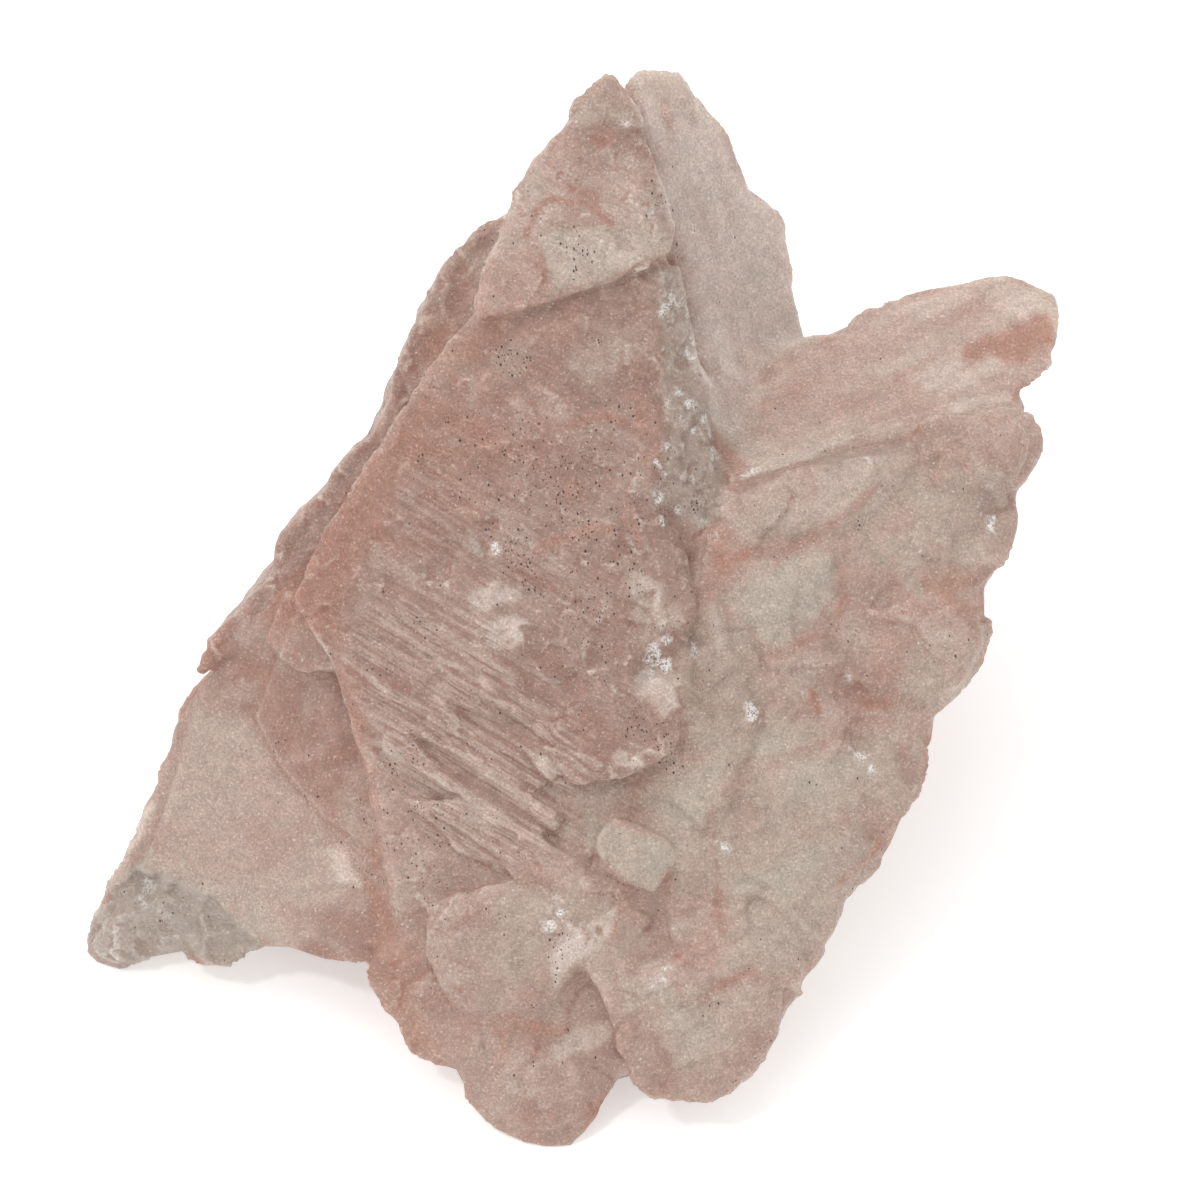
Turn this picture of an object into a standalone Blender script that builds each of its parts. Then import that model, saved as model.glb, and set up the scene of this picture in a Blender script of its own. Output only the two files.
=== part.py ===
"""A pale pink crystal group: blades with scalloped rims, grown through each other, flat below.

The group is laid out against its main face, in a frame of its own: x runs across the face, y along it from
the foot to the peak, and z straight out of it. That frame then tips back, so the main face rises from the
table at FACE_RISE_DEG. Every size below is in millimetres.
"""

import math
import random
from typing import NamedTuple

import bmesh
import bpy
from mathutils import Matrix, Vector

MM = 0.001
FACE_RISE_DEG = 35.0
FOOT = Vector((0.0, -27.4, -2.9))
MIDDLE = Vector((-1.289, 23.8, 0.0))
RIM_DROP = 0.55
BACK_TAPER = 0.5
SEED = 14
LUMP_CORNERS = 12
LUMP_RISE = 0.11
LUMP_ROOT = 3.0
REAR_LUMPS = 24
REAR_NOTCHES = 14
SMOOTH_SHARE = 12

NAME = "crystal_group"
PINK = (0.62, 0.40, 0.33, 1.0)
ROUGHNESS = 0.45


class Face(NamedTuple):
    """A flat crystal face: it passes through (x, y, z) and rises by rise_x and rise_y per millimetre."""

    x: float
    y: float
    z: float
    rise_x: float = 0.0
    rise_y: float = 0.0

    def height(self, x, y):
        """How far the face stands out above the point (x, y)."""
        return self.z + self.rise_x * (x - self.x) + self.rise_y * (y - self.y)

    def over(self, x, y, lift, lean_x=0.0, lean_y=0.0):
        """A face of its own that stands out by lift above this one at (x, y), and leans from it."""
        return Face(x, y, self.height(x, y) + lift, self.rise_x + lean_x, self.rise_y + lean_y)


MAIN = Face(-4.0, 3.0, 0.0, 0.0, 0.01)
LOWER = Face(-2.0, -14.0, -1.0, 0.03, 0.10)
RIGHT = Face(9.0, -5.0, -1.6, -0.17, -0.02)
BEVEL = Face(5.0, 9.0, -1.3, -0.62, 0.0)
LEFT_FIN = Face(-10.0, 10.0, -3.0, 0.12, 0.0)
LEFT_WING = Face(-17.5, -10.0, -5.5, 0.42, 0.03)
REAR_FIN = Face(5.0, 17.5, -7.0, -0.80, 0.04)
REAR_WING = Face(15.0, 11.5, -9.2, -0.12, -0.85)

# Each blade is its face, its thickness, the width of its bevelled rim, and an outline of notches
# (x, y, swell): the edge from a notch to the next one swells outwards by that share of its length.
BLADES = {
    "main": (MAIN, 7.0, 0.9, [
        (0.4, 26.0, 0.05), (-1.8, 23.6, 0.08), (-4.0, 20.6, 0.08), (-5.8, 15.0, 0.05),
        (-8.8, 11.4, 0.0), (-12.2, 6.2, 0.03), (-14.0, 3.5, 0.0), (-15.4, 0.0, 0.0), (-13.4, -3.0, 0.0),
        (-12.5, -6.4, 0.0), (-8.5, -9.0, 0.0), (-2.2, -9.7, 0.06), (2.2, -8.5, 0.05), (4.0, -7.4, 0.1),
        (4.6, -2.4, 0.1), (3.6, 4.0, 0.0), (3.3, 15.4, 0.0), (3.6, 19.8, 0.0), (1.8, 24.6, 0.1),
    ]),
    "cap": (MAIN.over(-1.5, 19.0, 0.8, 0.02, -0.03), 4.0, 0.5, [
        (0.8, 26.4, 0.14), (-0.6, 25.7, 0.14), (-1.7, 23.7, 0.12), (-2.7, 22.4, 0.12),
        (-4.1, 20.7, 0.12), (-4.7, 19.2, 0.12), (-5.2, 17.7, 0.1), (-6.0, 16.4, 0.12),
        (-6.3, 15.2, 0.08), (-6.5, 13.6, 0.03), (-5.0, 14.0, 0.0), (-2.0, 14.8, 0.02), (1.0, 15.9, 0.0),
        (3.9, 17.2, 0.08), (3.4, 20.0, 0.03), (2.7, 22.6, 0.04), (1.8, 25.2, 0.1),
    ]),
    "right_bevel": (BEVEL, 6.0, 0.3, [
        (4.0, 17.2, 0.02), (2.6, 16.4, 0.0), (2.8, 10.0, 0.0), (3.2, 5.4, 0.0), (4.0, 2.2, 0.0),
        (5.9, 2.4, 0.05), (5.9, 5.8, 0.03), (5.3, 9.8, 0.03), (4.7, 13.4, 0.03),
    ]),
    "lower": (LOWER, 10.0, 0.9, [
        (-15.2, -0.3, 0.0), (-13.2, -3.0, 0.0), (-12.5, -5.9, 0.02), (-11.6, -9.0, 0.02),
        (-10.8, -13.8, 0.02), (-10.7, -16.5, 0.03), (-11.8, -18.3, 0.05), (-11.7, -19.4, 0.1),
        (-10.1, -21.4, 0.06), (-9.8, -22.6, 0.1), (-9.1, -23.2, 0.05), (-7.0, -23.8, 0.05),
        (-6.8, -25.1, 0.1), (-4.4, -26.9, 0.1), (-1.8, -27.4, 0.1), (-0.3, -26.3, 0.05),
        (0.6, -24.8, 0.0), (4.0, -20.0, 0.0), (7.0, -8.0, 0.0), (3.0, 0.0, 0.0), (-4.0, 3.0, 0.0),
    ]),
    "right": (RIGHT, 9.0, 1.3, [
        (6.0, 5.7, 0.03), (7.0, 6.4, 0.0), (12.4, 7.7, 0.02), (17.2, 8.9, 0.03), (20.0, 10.0, 0.06),
        (21.2, 9.7, 0.24), (21.8, 7.0, 0.16), (20.6, 6.0, 0.1), (21.1, 3.4, 0.14), (20.3, 2.3, 0.03),
        (19.2, 1.7, 0.02), (19.3, 0.2, 0.16), (18.6, -4.2, 0.12), (16.8, -5.7, 0.06),
        (16.7, -7.2, 0.14), (14.7, -11.0, 0.1), (14.4, -12.6, 0.14), (12.0, -15.1, 0.08),
        (11.5, -17.1, 0.08), (10.0, -19.1, 0.08), (9.3, -20.5, 0.08), (8.5, -22.5, 0.12),
        (7.2, -24.0, 0.1), (5.8, -25.2, 0.08), (3.8, -25.9, 0.06), (1.2, -24.8, 0.0),
        (-1.0, -18.0, 0.0), (2.5, -6.0, 0.0), (3.4, 1.0, 0.0),
    ]),
    "left_fin": (LEFT_FIN, 5.0, 0.9, [
        (-1.8, 22.4, 0.08), (-4.7, 19.3, 0.2), (-6.6, 17.9, 0.16), (-8.2, 16.0, 0.16),
        (-8.9, 14.4, 0.14), (-9.6, 12.4, 0.14), (-10.3, 10.4, 0.14), (-11.1, 8.0, 0.14),
        (-13.0, 7.0, 0.16), (-13.7, 4.9, 0.14), (-15.5, 4.0, 0.18), (-16.4, 1.0, 0.08),
        (-18.5, -1.0, 0.14), (-20.2, -3.1, 0.12), (-20.7, -4.6, 0.0), (-18.2, -2.6, 0.0),
        (-15.2, -1.0, 0.0), (-11.0, -2.0, 0.0), (-3.0, 3.0, 0.0), (1.0, 18.0, 0.0),
    ]),
    "left_wing": (LEFT_WING, 6.0, 0.6, [
        (-15.6, -0.6, 0.0), (-18.2, -1.9, 0.0), (-20.7, -4.3, 0.04), (-21.6, -7.1, 0.06),
        (-22.5, -9.4, 0.06), (-23.2, -11.1, 0.06), (-24.4, -13.2, 0.05), (-25.3, -15.3, 0.06),
        (-26.0, -17.1, 0.18), (-25.1, -18.4, 0.18), (-22.6, -17.9, 0.0), (-21.3, -17.1, 0.0),
        (-20.7, -18.3, 0.1), (-18.2, -18.4, 0.06), (-17.6, -17.4, 0.03), (-15.4, -17.5, 0.04),
        (-11.6, -18.4, 0.0), (-9.6, -18.5, 0.0), (-8.6, -12.0, 0.0), (-10.0, -4.0, 0.0),
    ]),
    "wing_plate": (LEFT_WING.over(-17.0, -10.0, 0.7), 4.0, 0.5, [
        (-15.6, -1.0, 0.0), (-18.2, -2.3, 0.0), (-20.3, -5.2, 0.0), (-21.4, -9.0, 0.0),
        (-22.4, -12.0, 0.0), (-23.1, -13.6, 0.04), (-20.5, -14.4, 0.04), (-19.1, -15.4, 0.06),
        (-17.4, -16.7, 0.0), (-14.0, -17.1, 0.0), (-9.6, -17.5, 0.0), (-8.8, -12.0, 0.0),
        (-10.0, -4.0, 0.0),
    ]),
    "wing_tip": (LEFT_WING.over(-23.4, -17.0, 0.5, -0.10, -0.05), 3.0, 0.5, [
        (-24.2, -15.8, 0.04), (-22.2, -15.3, 0.1), (-21.0, -16.3, 0.04), (-20.5, -17.0, 0.0),
        (-21.5, -17.2, 0.0), (-22.8, -17.9, 0.04), (-24.0, -18.3, 0.04), (-25.0, -18.1, 0.1),
        (-25.7, -17.2, 0.1),
    ]),
    "rear_fin": (REAR_FIN, 7.0, 0.8, [
        (1.0, 26.3, 0.1), (2.3, 26.9, 0.04), (3.9, 26.8, 0.1), (4.5, 25.7, 0.08), (5.4, 24.8, 0.08),
        (6.4, 23.5, 0.06), (7.5, 20.3, 0.06), (9.2, 19.5, 0.05), (9.5, 17.9, 0.06), (9.7, 15.5, 0.06),
        (10.2, 13.9, 0.03), (10.4, 12.8, 0.0), (9.0, 9.0, 0.0), (7.1, 5.8, 0.0), (4.0, 3.0, 0.0),
        (0.0, 6.0, 0.0), (-1.5, 18.0, 0.0),
    ]),
    "rear_wing": (REAR_WING, 6.0, 0.8, [
        (7.0, 5.8, 0.0), (10.2, 6.9, 0.0), (15.5, 8.2, 0.0), (20.8, 10.0, 0.0), (22.2, 11.1, 0.04),
        (22.9, 12.0, 0.06), (23.4, 14.0, 0.06), (23.3, 15.2, 0.08), (22.0, 16.1, 0.06),
        (20.2, 16.5, 0.02), (17.2, 15.9, 0.02), (14.5, 15.2, 0.04), (12.6, 14.4, 0.05),
        (12.1, 13.3, 0.0), (10.3, 13.3, 0.0), (8.0, 12.6, 0.0), (6.0, 10.0, 0.0),
    ]),
    "tip_plate": (MAIN.over(0.2, 24.0, 1.0, 0.10, -0.10), 3.0, 0.4, [
        (0.9, 26.2, 0.1), (-0.8, 24.7, 0.1), (-1.3, 23.3, 0.0), (0.4, 23.9, 0.0), (2.2, 23.4, 0.0),
        (2.0, 24.6, 0.1),
    ]),
    "cap_plate": (MAIN.over(0.5, 17.3, 1.1, 0.03, -0.05), 3.0, 0.35, [
        (-3.3, 18.0, 0.0), (-2.2, 15.5, 0.0), (1.0, 16.3, 0.0), (3.6, 17.5, 0.1), (3.0, 19.6, 0.05),
        (0.5, 19.9, 0.1), (-1.6, 19.3, 0.08),
    ]),
    "upper_ledge": (MAIN.over(-1.0, 3.0, 0.35, 0.02, -0.03), 3.0, 0.7, [
        (-6.3, 3.4, 0.0), (-4.5, -0.8, 0.0), (-2.2, -3.2, 0.05), (1.2, -5.2, 0.0), (3.0, -2.0, 0.05),
        (3.2, 3.4, 0.0), (2.4, 8.0, 0.04), (-1.8, 8.4, 0.0), (-4.4, 5.6, 0.0),
    ]),
    "foot_ledge": (MAIN.over(1.5, -6.0, 0.8, -0.03, -0.06), 3.0, 0.5, [
        (-2.8, -7.0, 0.0), (-1.9, -9.5, 0.0), (0.0, -9.2, 0.04), (2.2, -8.5, 0.03), (4.0, -7.5, 0.1),
        (4.0, -5.6, 0.04), (3.4, -3.6, 0.0), (0.6, -3.6, 0.1),
    ]),
    "striped": (MAIN.over(-8.0, -4.6, 0.35, 0.0, 0.03), 3.0, 0.5, [
        (-13.2, -2.6, 0.0), (-12.0, -5.8, 0.0), (-7.5, -8.2, 0.0), (-3.0, -9.4, 0.04),
        (-1.2, -8.4, 0.0), (-5.0, -4.4, 0.0), (-9.0, 0.0, 0.0), (-12.0, 1.4, 0.0),
    ]),
    "rib_one": (LOWER.over(-6.5, -9.0, 0.75, 0.0, 0.02), 3.0, 0.5, [
        (-11.2, -6.4, 0.0), (-9.2, -8.6, 0.02), (-5.8, -10.4, 0.03), (-2.6, -12.0, 0.1),
        (-1.6, -10.8, 0.0), (-5.8, -8.2, 0.04), (-9.2, -6.4, 0.03),
    ]),
    "rib_two": (LOWER.over(-5.2, -12.5, 0.7, 0.0, 0.02), 3.0, 0.5, [
        (-10.0, -9.8, 0.0), (-7.2, -12.6, 0.03), (-4.2, -14.2, 0.02), (-0.2, -15.2, 0.1),
        (0.6, -14.0, 0.0), (-2.8, -11.9, 0.03), (-7.0, -10.0, 0.03),
    ]),
    "lens_plate": (LOWER.over(-4.0, -17.6, 1.15, -0.02, 0.03), 3.0, 1.1, [
        (-8.8, -15.2, 0.04), (-8.7, -17.6, 0.08), (-7.4, -20.2, 0.1), (-4.6, -21.4, 0.1),
        (-2.2, -20.0, 0.06), (-0.9, -18.0, 0.05), (0.8, -16.2, 0.1), (0.6, -15.0, 0.06),
        (-2.2, -14.6, 0.02), (-5.6, -14.0, 0.05),
    ]),
    "grey_rhomb": (RIGHT.over(1.8, -12.0, 1.1, 0.08, 0.06), 3.0, 0.5, [
        (-0.6, -11.8, 0.0), (-0.4, -13.4, 0.0), (1.2, -14.2, 0.0), (2.8, -14.9, 0.0),
        (4.0, -13.0, 0.05), (3.0, -11.4, 0.02), (0.6, -10.4, 0.0),
    ]),
    "pale_facet": (RIGHT.over(9.6, 0.0, 0.75, 0.04, 0.10), 3.0, 0.8, [
        (7.2, 1.2, 0.03), (7.6, -1.2, 0.05), (8.8, -2.8, 0.04), (10.8, -1.4, 0.06), (12.0, 0.8, 0.1),
        (11.2, 2.6, 0.04), (8.6, 1.9, 0.0),
    ]),
    "grey_striped": (RIGHT.over(6.0, -5.0, 0.6, 0.10, -0.05), 3.0, 0.5, [
        (3.8, -2.6, 0.0), (4.2, -6.0, 0.0), (5.8, -8.2, 0.05), (7.4, -8.0, 0.0), (8.2, -5.2, 0.03),
        (7.6, -2.8, 0.0), (5.8, -1.8, 0.0),
    ]),
    "shoulder": (RIGHT.over(11.0, 5.5, 0.7, 0.0, 0.08), 3.0, 0.7, [
        (6.6, 5.6, 0.0), (7.4, 3.6, 0.0), (10.4, 3.0, 0.05), (14.2, 4.4, 0.04), (15.6, 6.6, 0.1),
        (13.4, 7.4, 0.02), (9.4, 6.5, 0.0),
    ]),
    "right_lobe": (RIGHT.over(17.3, -2.0, 0.8, 0.08, 0.0), 3.0, 0.9, [
        (15.0, 0.2, 0.06), (14.2, -3.4, 0.08), (16.2, -5.2, 0.08), (18.6, -3.6, 0.14),
        (19.0, -0.4, 0.1), (17.4, 1.4, 0.08),
    ]),
    "top_lobe": (RIGHT.over(19.0, 7.6, 0.9, 0.10, 0.06), 3.0, 0.9, [
        (16.4, 7.8, 0.06), (16.8, 5.4, 0.08), (19.4, 5.2, 0.08), (21.2, 6.8, 0.12), (20.8, 9.4, 0.1),
        (18.2, 9.2, 0.04),
    ]),
    "low_facet": (RIGHT.over(10.5, -11.0, 0.8, 0.06, 0.12), 3.0, 0.8, [
        (7.6, -9.0, 0.0), (8.4, -12.6, 0.04), (10.6, -14.4, 0.06), (13.2, -12.6, 0.05),
        (13.6, -9.4, 0.05), (11.0, -7.6, 0.04),
    ]),
    "foot_facet": (RIGHT.over(6.0, -20.5, 0.7, -0.03, 0.14), 3.0, 0.8, [
        (2.2, -18.6, 0.0), (3.0, -22.6, 0.05), (6.4, -24.0, 0.06), (8.8, -21.6, 0.06),
        (8.6, -18.2, 0.05), (5.2, -16.8, 0.04),
    ]),
    "foot_lobe": (LOWER.over(-3.0, -24.2, 0.8, 0.0, -0.05), 3.0, 0.9, [
        (-5.8, -22.8, 0.05), (-5.6, -25.2, 0.08), (-3.4, -26.6, 0.1), (-1.0, -26.0, 0.08),
        (-0.2, -23.6, 0.08), (-3.0, -22.2, 0.06),
    ]),
}

# The two lumps that the blades grow from: the body, and the spine behind the peak.
BODY_CORNERS = [
    (3.0, 6.0, -1.9), (-12.0, 2.0, -4.5), (-9.5, -16.0, -3.8), (-7.5, -22.0, -4.8), (-2.0, -25.2, -4.8),
    (5.0, -23.6, -6.0), (11.0, -14.0, -5.8), (16.0, -2.0, -6.5), (14.0, 5.0, -8.5),
    (-9.0, -12.0, -15.0), (9.0, -14.0, -14.0), (12.5, 0.0, -21.0), (-8.0, 0.0, -22.0),
    (4.0, 4.0, -25.5), (7.0, 9.5, -17.0), (-7.5, 7.0, -10.0),
]
SPINE_CORNERS = [
    (0.0, 22.5, -3.0), (3.0, 6.0, -1.9), (2.6, 17.0, -6.0), (-8.5, 8.0, -6.5), (0.0, 17.0, -13.0),
    (8.0, 9.5, -13.5), (-5.0, 12.5, -13.0), (0.0, 4.0, -22.0),
]

# Blades that face away from the main face: (centre, which way they face, length, width, thickness, turn).
REAR_BLADES = [
    ((0.5, 14.0, -13.0), (-0.10, 0.66, -0.75), 17.0, 12.0, 6.0, 80.0),
    ((8.0, 4.5, -17.5), (0.52, 0.36, -0.76), 16.0, 11.0, 6.0, 60.0),
    ((-6.0, 4.5, -16.0), (-0.55, 0.42, -0.72), 14.0, 11.0, 6.0, 115.0),
    ((-11.0, -6.5, -11.5), (-0.62, -0.10, -0.76), 14.0, 11.0, 6.0, 70.0),
    ((7.6, -8.0, -12.5), (0.62, -0.18, -0.76), 15.0, 11.0, 6.0, 100.0),
    ((2.5, 8.0, -19.5), (0.10, 0.74, -0.66), 14.0, 10.0, 5.0, 15.0),
]

# Low lumps in rows over a face, where the ground is rough: (face, from, to, count, size).
ROWS = [
    (RIGHT, (17.6, 6.6), (15.4, -4.0), 5, 5.6),
    (RIGHT, (13.4, -8.0), (6.6, -20.0), 6, 5.0),
    (RIGHT, (13.0, 4.6), (12.0, -6.5), 5, 6.0),
    (RIGHT, (7.5, 3.0), (5.0, -16.0), 7, 5.0),
    (RIGHT, (10.0, -5.0), (7.0, -17.0), 5, 6.0),
    (LOWER, (-8.0, -20.6), (3.0, -23.0), 6, 4.6),
    (LOWER, (-0.5, -16.5), (3.5, -21.5), 4, 4.6),
    (BEVEL, (4.3, 14.6), (5.0, 4.5), 6, 2.6),
    (LEFT_FIN, (-7.0, 12.0), (-13.5, 2.0), 4, 3.4),
]


def signed_area(corners):
    """The area inside the corners, positive where they run counter-clockwise."""
    after = corners[1:] + corners[:1]
    return sum(a.x * b.y - b.x * a.y for a, b in zip(corners, after)) / 2


def outline_points(notches):
    """The outline's points, counter-clockwise, with each swelling edge as an arc."""
    corners = [Vector((x, y)) for x, y, _ in notches]
    side = 1 if signed_area(corners) > 0 else -1
    points = []
    for i, (_, _, swell) in enumerate(notches):
        across = corners[(i + 1) % len(corners)] - corners[i]
        outward = side * Vector((across.y, -across.x))
        steps = 3 if swell > 0.07 else 2 if swell > 0.03 else 1
        for step in range(steps):
            share = step / steps
            points.append(corners[i] + across * share + outward * swell * math.sin(math.pi * share))
    return points[::side]


def smoothed(points):
    """The outline with each point at the mean of those around it, so the scallops die out."""
    count = len(points)
    reach = count // SMOOTH_SHARE
    spans = [[points[(i + step) % count] for step in range(-reach, reach + 1)] for i in range(count)]
    return [sum(span, Vector((0.0, 0.0))) / len(span) for span in spans]


def solid(name, bm, frame):
    """The shape as an object, moved by frame, tipped back with the main face and brought to real size."""
    bm.normal_update()
    bmesh.ops.recalc_face_normals(bm, faces=bm.faces)
    tip_back = Matrix.Rotation(math.radians(FACE_RISE_DEG), 4, "X") @ Matrix.Translation(-FOOT)
    bm.transform(Matrix.Scale(MM, 4) @ Matrix.Translation(-MIDDLE) @ tip_back @ frame)
    mesh = bpy.data.meshes.new(name)
    bm.to_mesh(mesh)
    bm.free()
    return bpy.data.objects.new(name, mesh)


def grow_face(bm, face, move):
    """Extrudes a face, puts each of its new corners where move says, and returns the new face."""
    grown = bmesh.ops.extrude_face_region(bm, geom=[face])["geom"]
    for vert in grown:
        if isinstance(vert, bmesh.types.BMVert):
            vert.co = move(vert.co)
    return next(f for f in grown if isinstance(f, bmesh.types.BMFace))


def blade(name, face, thick, rim, points, frame=Matrix()):
    """A crystal blade: a flat back, a rim that stands out, and its face, inset from the rim by a bevel."""
    middle = sum(points, Vector((0.0, 0.0))) / len(points)

    def inset(co, by, down):
        """The point drawn in towards the middle, and put at a depth below the face."""
        way = co.xy - middle
        at = middle + way * max(0.2, 1 - by / way.length)
        return Vector((at.x, at.y, face.height(at.x, at.y) - down))

    bm = bmesh.new()
    ring = [bm.verts.new((p.x, p.y, 0.0)) for p in points]
    edge = grow_face(bm, bm.faces.new(ring), lambda co: inset(co, 0.0, rim * RIM_DROP))
    grow_face(bm, edge, lambda co: inset(co, rim, 0.0))
    bmesh.ops.delete(bm, geom=[edge], context="FACES_ONLY")
    for vert, place in zip(ring, smoothed(points)):
        vert.co = inset(place.to_3d(), thick * BACK_TAPER, thick)
    return solid(name, bm, frame)


def facing(place, toward, turn):
    """The frame whose z axis points toward, at a place, turned about that axis by a number of degrees."""
    aim = Vector(toward).to_track_quat("Z", "Y").to_matrix().to_4x4()
    return Matrix.Translation(place) @ aim @ Matrix.Rotation(math.radians(turn), 4, "Z")


def rear_blade(name, place, toward, length, width, thick, turn):
    """A pointed blade with a scalloped rim, seen from behind."""
    outline = []
    for i in range(REAR_NOTCHES):
        angle = 2 * math.pi * i / REAR_NOTCHES
        reach = random.uniform(0.86, 1.0)
        x = length / 2 * math.cos(angle) * reach
        y = width / 2 * math.sin(angle) * reach
        outline.append((x, y, 0.07))
    flat = Face(0.0, 0.0, thick / 2, random.uniform(-0.08, 0.08), random.uniform(-0.08, 0.08))
    return blade(name, flat, thick, 1.1, outline_points(outline), facing(place, toward, turn))


def lump(name, place, toward, size):
    """A low lump with flat facets: the hull of points over a flattened ball, sunk into the ground."""
    bm = bmesh.new()
    reach = Vector((size * 0.55, size * random.uniform(0.3, 0.45), size * LUMP_RISE))
    for _ in range(LUMP_CORNERS):
        way = Vector([random.gauss(0.0, 1.0) for _ in range(3)]).normalized()
        way.z *= LUMP_ROOT if way.z < 0 else 1.0
        bm.verts.new(way * reach)
    wrap(bm)
    return solid(name, bm, facing(place, toward, random.uniform(-60, 20)))


def row_of_lumps(name, face, start, end, count, size):
    """Lumps scattered along a line over a face."""
    made = []
    for i in range(count):
        at = Vector(start).lerp(Vector(end), (i + random.uniform(0.2, 0.8)) / count)
        at += Vector((random.uniform(-0.25, 0.25), random.uniform(-0.25, 0.25))) * size
        place = (at.x, at.y, face.height(at.x, at.y))
        lean = (random.gauss(-face.rise_x, 0.12), random.gauss(-face.rise_y, 0.12), 1.0)
        made.append(lump(f"{name}_{i}", place, lean, size * random.uniform(0.8, 1.2)))
    return made


def rear_lumps(count):
    """Lumps scattered over the blades behind."""
    made = []
    for i in range(count):
        place, toward, length, width, thick, turn = REAR_BLADES[i % len(REAR_BLADES)]
        frame = facing(place, toward, turn)
        x = length * random.uniform(-0.36, 0.36)
        y = width * random.uniform(-0.30, 0.30)
        lean = Vector(toward) + Vector([random.gauss(0.0, 0.2) for _ in range(3)])
        on_face = frame @ Vector((x, y, thick / 2))
        made.append(lump(f"rear_{i}", on_face, lean, random.uniform(4.5, 7.0)))
    return made


def wrap(bm):
    """Wraps the loose corners in their convex hull."""
    made = bmesh.ops.convex_hull(bm, input=bm.verts)
    spare = made["geom_interior"] + made["geom_unused"]
    unused = {item for item in spare if isinstance(item, bmesh.types.BMVert)}
    bmesh.ops.delete(bm, geom=list(unused), context="VERTS")


def hull(name, corners):
    """A lump of crystal as the convex hull of its corners."""
    bm = bmesh.new()
    for corner in corners:
        bm.verts.new(corner)
    wrap(bm)
    return solid(name, bm, Matrix())


def floor_cutter():
    """The block below the table's top, which leaves the group's flat base."""
    side = 200 * MM
    bm = bmesh.new()
    bmesh.ops.create_cube(bm, size=side)
    bmesh.ops.translate(bm, verts=bm.verts, vec=(0.0, 0.0, -side / 2))
    mesh = bpy.data.meshes.new("below_table")
    bm.to_mesh(mesh)
    bm.free()
    cutter = bpy.data.objects.new("below_table", mesh)
    cutter.display_type = "WIRE"
    cutter.hide_render = True
    return cutter


def pink_crystal():
    """The crystal's plain pink material."""
    made = bpy.data.materials.new(NAME)
    made.use_nodes = True
    shader = made.node_tree.nodes["Principled BSDF"]
    shader.inputs["Base Color"].default_value = PINK
    shader.inputs["Roughness"].default_value = ROUGHNESS
    return made


def collection(name, helpers):
    """A new collection in the scene, for helpers that no render shows or for the object itself."""
    made = bpy.data.collections.new(name)
    made.hide_render = helpers
    bpy.context.scene.collection.children.link(made)
    return made


def boolean(body, name, operation, **operand):
    """Joins the operand to the body, or cuts it away."""
    modifier = body.modifiers.new(name, "BOOLEAN")
    modifier.operation = operation
    modifier.solver = "EXACT"
    for key, value in operand.items():
        setattr(modifier, key, value)


def grown_pieces():
    """Every blade and lump that grows on the body."""
    pieces = [
        blade(name, face, thick, rim, outline_points(outline))
        for name, (face, thick, rim, outline) in BLADES.items()
    ]
    pieces += [rear_blade(f"rear_blade_{i}", *facts) for i, facts in enumerate(REAR_BLADES)]
    for i, facts in enumerate(ROWS):
        pieces += row_of_lumps(f"row_{i}", *facts)
    return pieces + rear_lumps(REAR_LUMPS) + [hull("spine", SPINE_CORNERS)]


def main():
    """Builds the group as one solid that stands on its flat base."""
    for old in list(bpy.data.objects):
        bpy.data.objects.remove(old)
    random.seed(SEED)
    group = collection(NAME, helpers=False)
    grown = collection("blades", helpers=True)
    cutters = collection("cutters", helpers=True)
    for piece in grown_pieces():
        piece.display_type = "WIRE"
        piece.hide_render = True
        grown.objects.link(piece)
    body = hull(NAME, BODY_CORNERS)
    body.data.materials.append(pink_crystal())
    group.objects.link(body)
    cutter = floor_cutter()
    cutters.objects.link(cutter)
    boolean(body, "grow_blades", "UNION", operand_type="COLLECTION", collection=grown)
    boolean(body, "flat_base", "DIFFERENCE", object=cutter)


main()
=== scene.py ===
"""Dresses a pale pink crystal group and lights it as a small stone on a white table.

The group's solid is copied, remeshed finely and given its relief. Then its stains and clouds are painted as
vertex colours, which the crystal's materials read, with painted highlights on raised edges and at glints, and
painted shade in its creases. Places on the group are given as they are seen straight onto its main face, in
dots of a square view of 1200 dots.
"""

import logging
import math
from collections.abc import Sequence
from dataclasses import dataclass
from enum import Enum, IntEnum

import bmesh
import bpy
import numpy as np
from mathutils import Matrix, Vector
from numpy.typing import NDArray

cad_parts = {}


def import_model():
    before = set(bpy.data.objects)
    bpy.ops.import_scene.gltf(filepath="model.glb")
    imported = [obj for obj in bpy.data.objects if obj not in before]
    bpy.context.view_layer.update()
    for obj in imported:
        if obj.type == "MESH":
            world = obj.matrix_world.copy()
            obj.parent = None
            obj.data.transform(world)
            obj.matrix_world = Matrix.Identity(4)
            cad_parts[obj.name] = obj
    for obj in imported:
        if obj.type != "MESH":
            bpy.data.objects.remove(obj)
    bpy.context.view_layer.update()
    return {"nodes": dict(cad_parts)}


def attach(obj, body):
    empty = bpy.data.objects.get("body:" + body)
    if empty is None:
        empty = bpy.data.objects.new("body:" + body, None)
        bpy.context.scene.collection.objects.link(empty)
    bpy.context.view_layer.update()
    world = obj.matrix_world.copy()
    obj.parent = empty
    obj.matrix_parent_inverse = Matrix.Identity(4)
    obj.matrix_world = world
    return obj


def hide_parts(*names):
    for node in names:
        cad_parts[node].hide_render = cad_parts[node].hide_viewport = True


Floats = NDArray[np.float64]
Colour = tuple[float, float, float, float]
Place = tuple[float, float]
Socket = bpy.types.NodeSocket
Tree = bpy.types.NodeTree
Node = bpy.types.Node
Mesh = bpy.types.Mesh
Piece = bpy.types.Object

LOG = logging.getLogger("crystal_group")

MM = 0.001
FACE_RISE_DEG = 35.0
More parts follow.
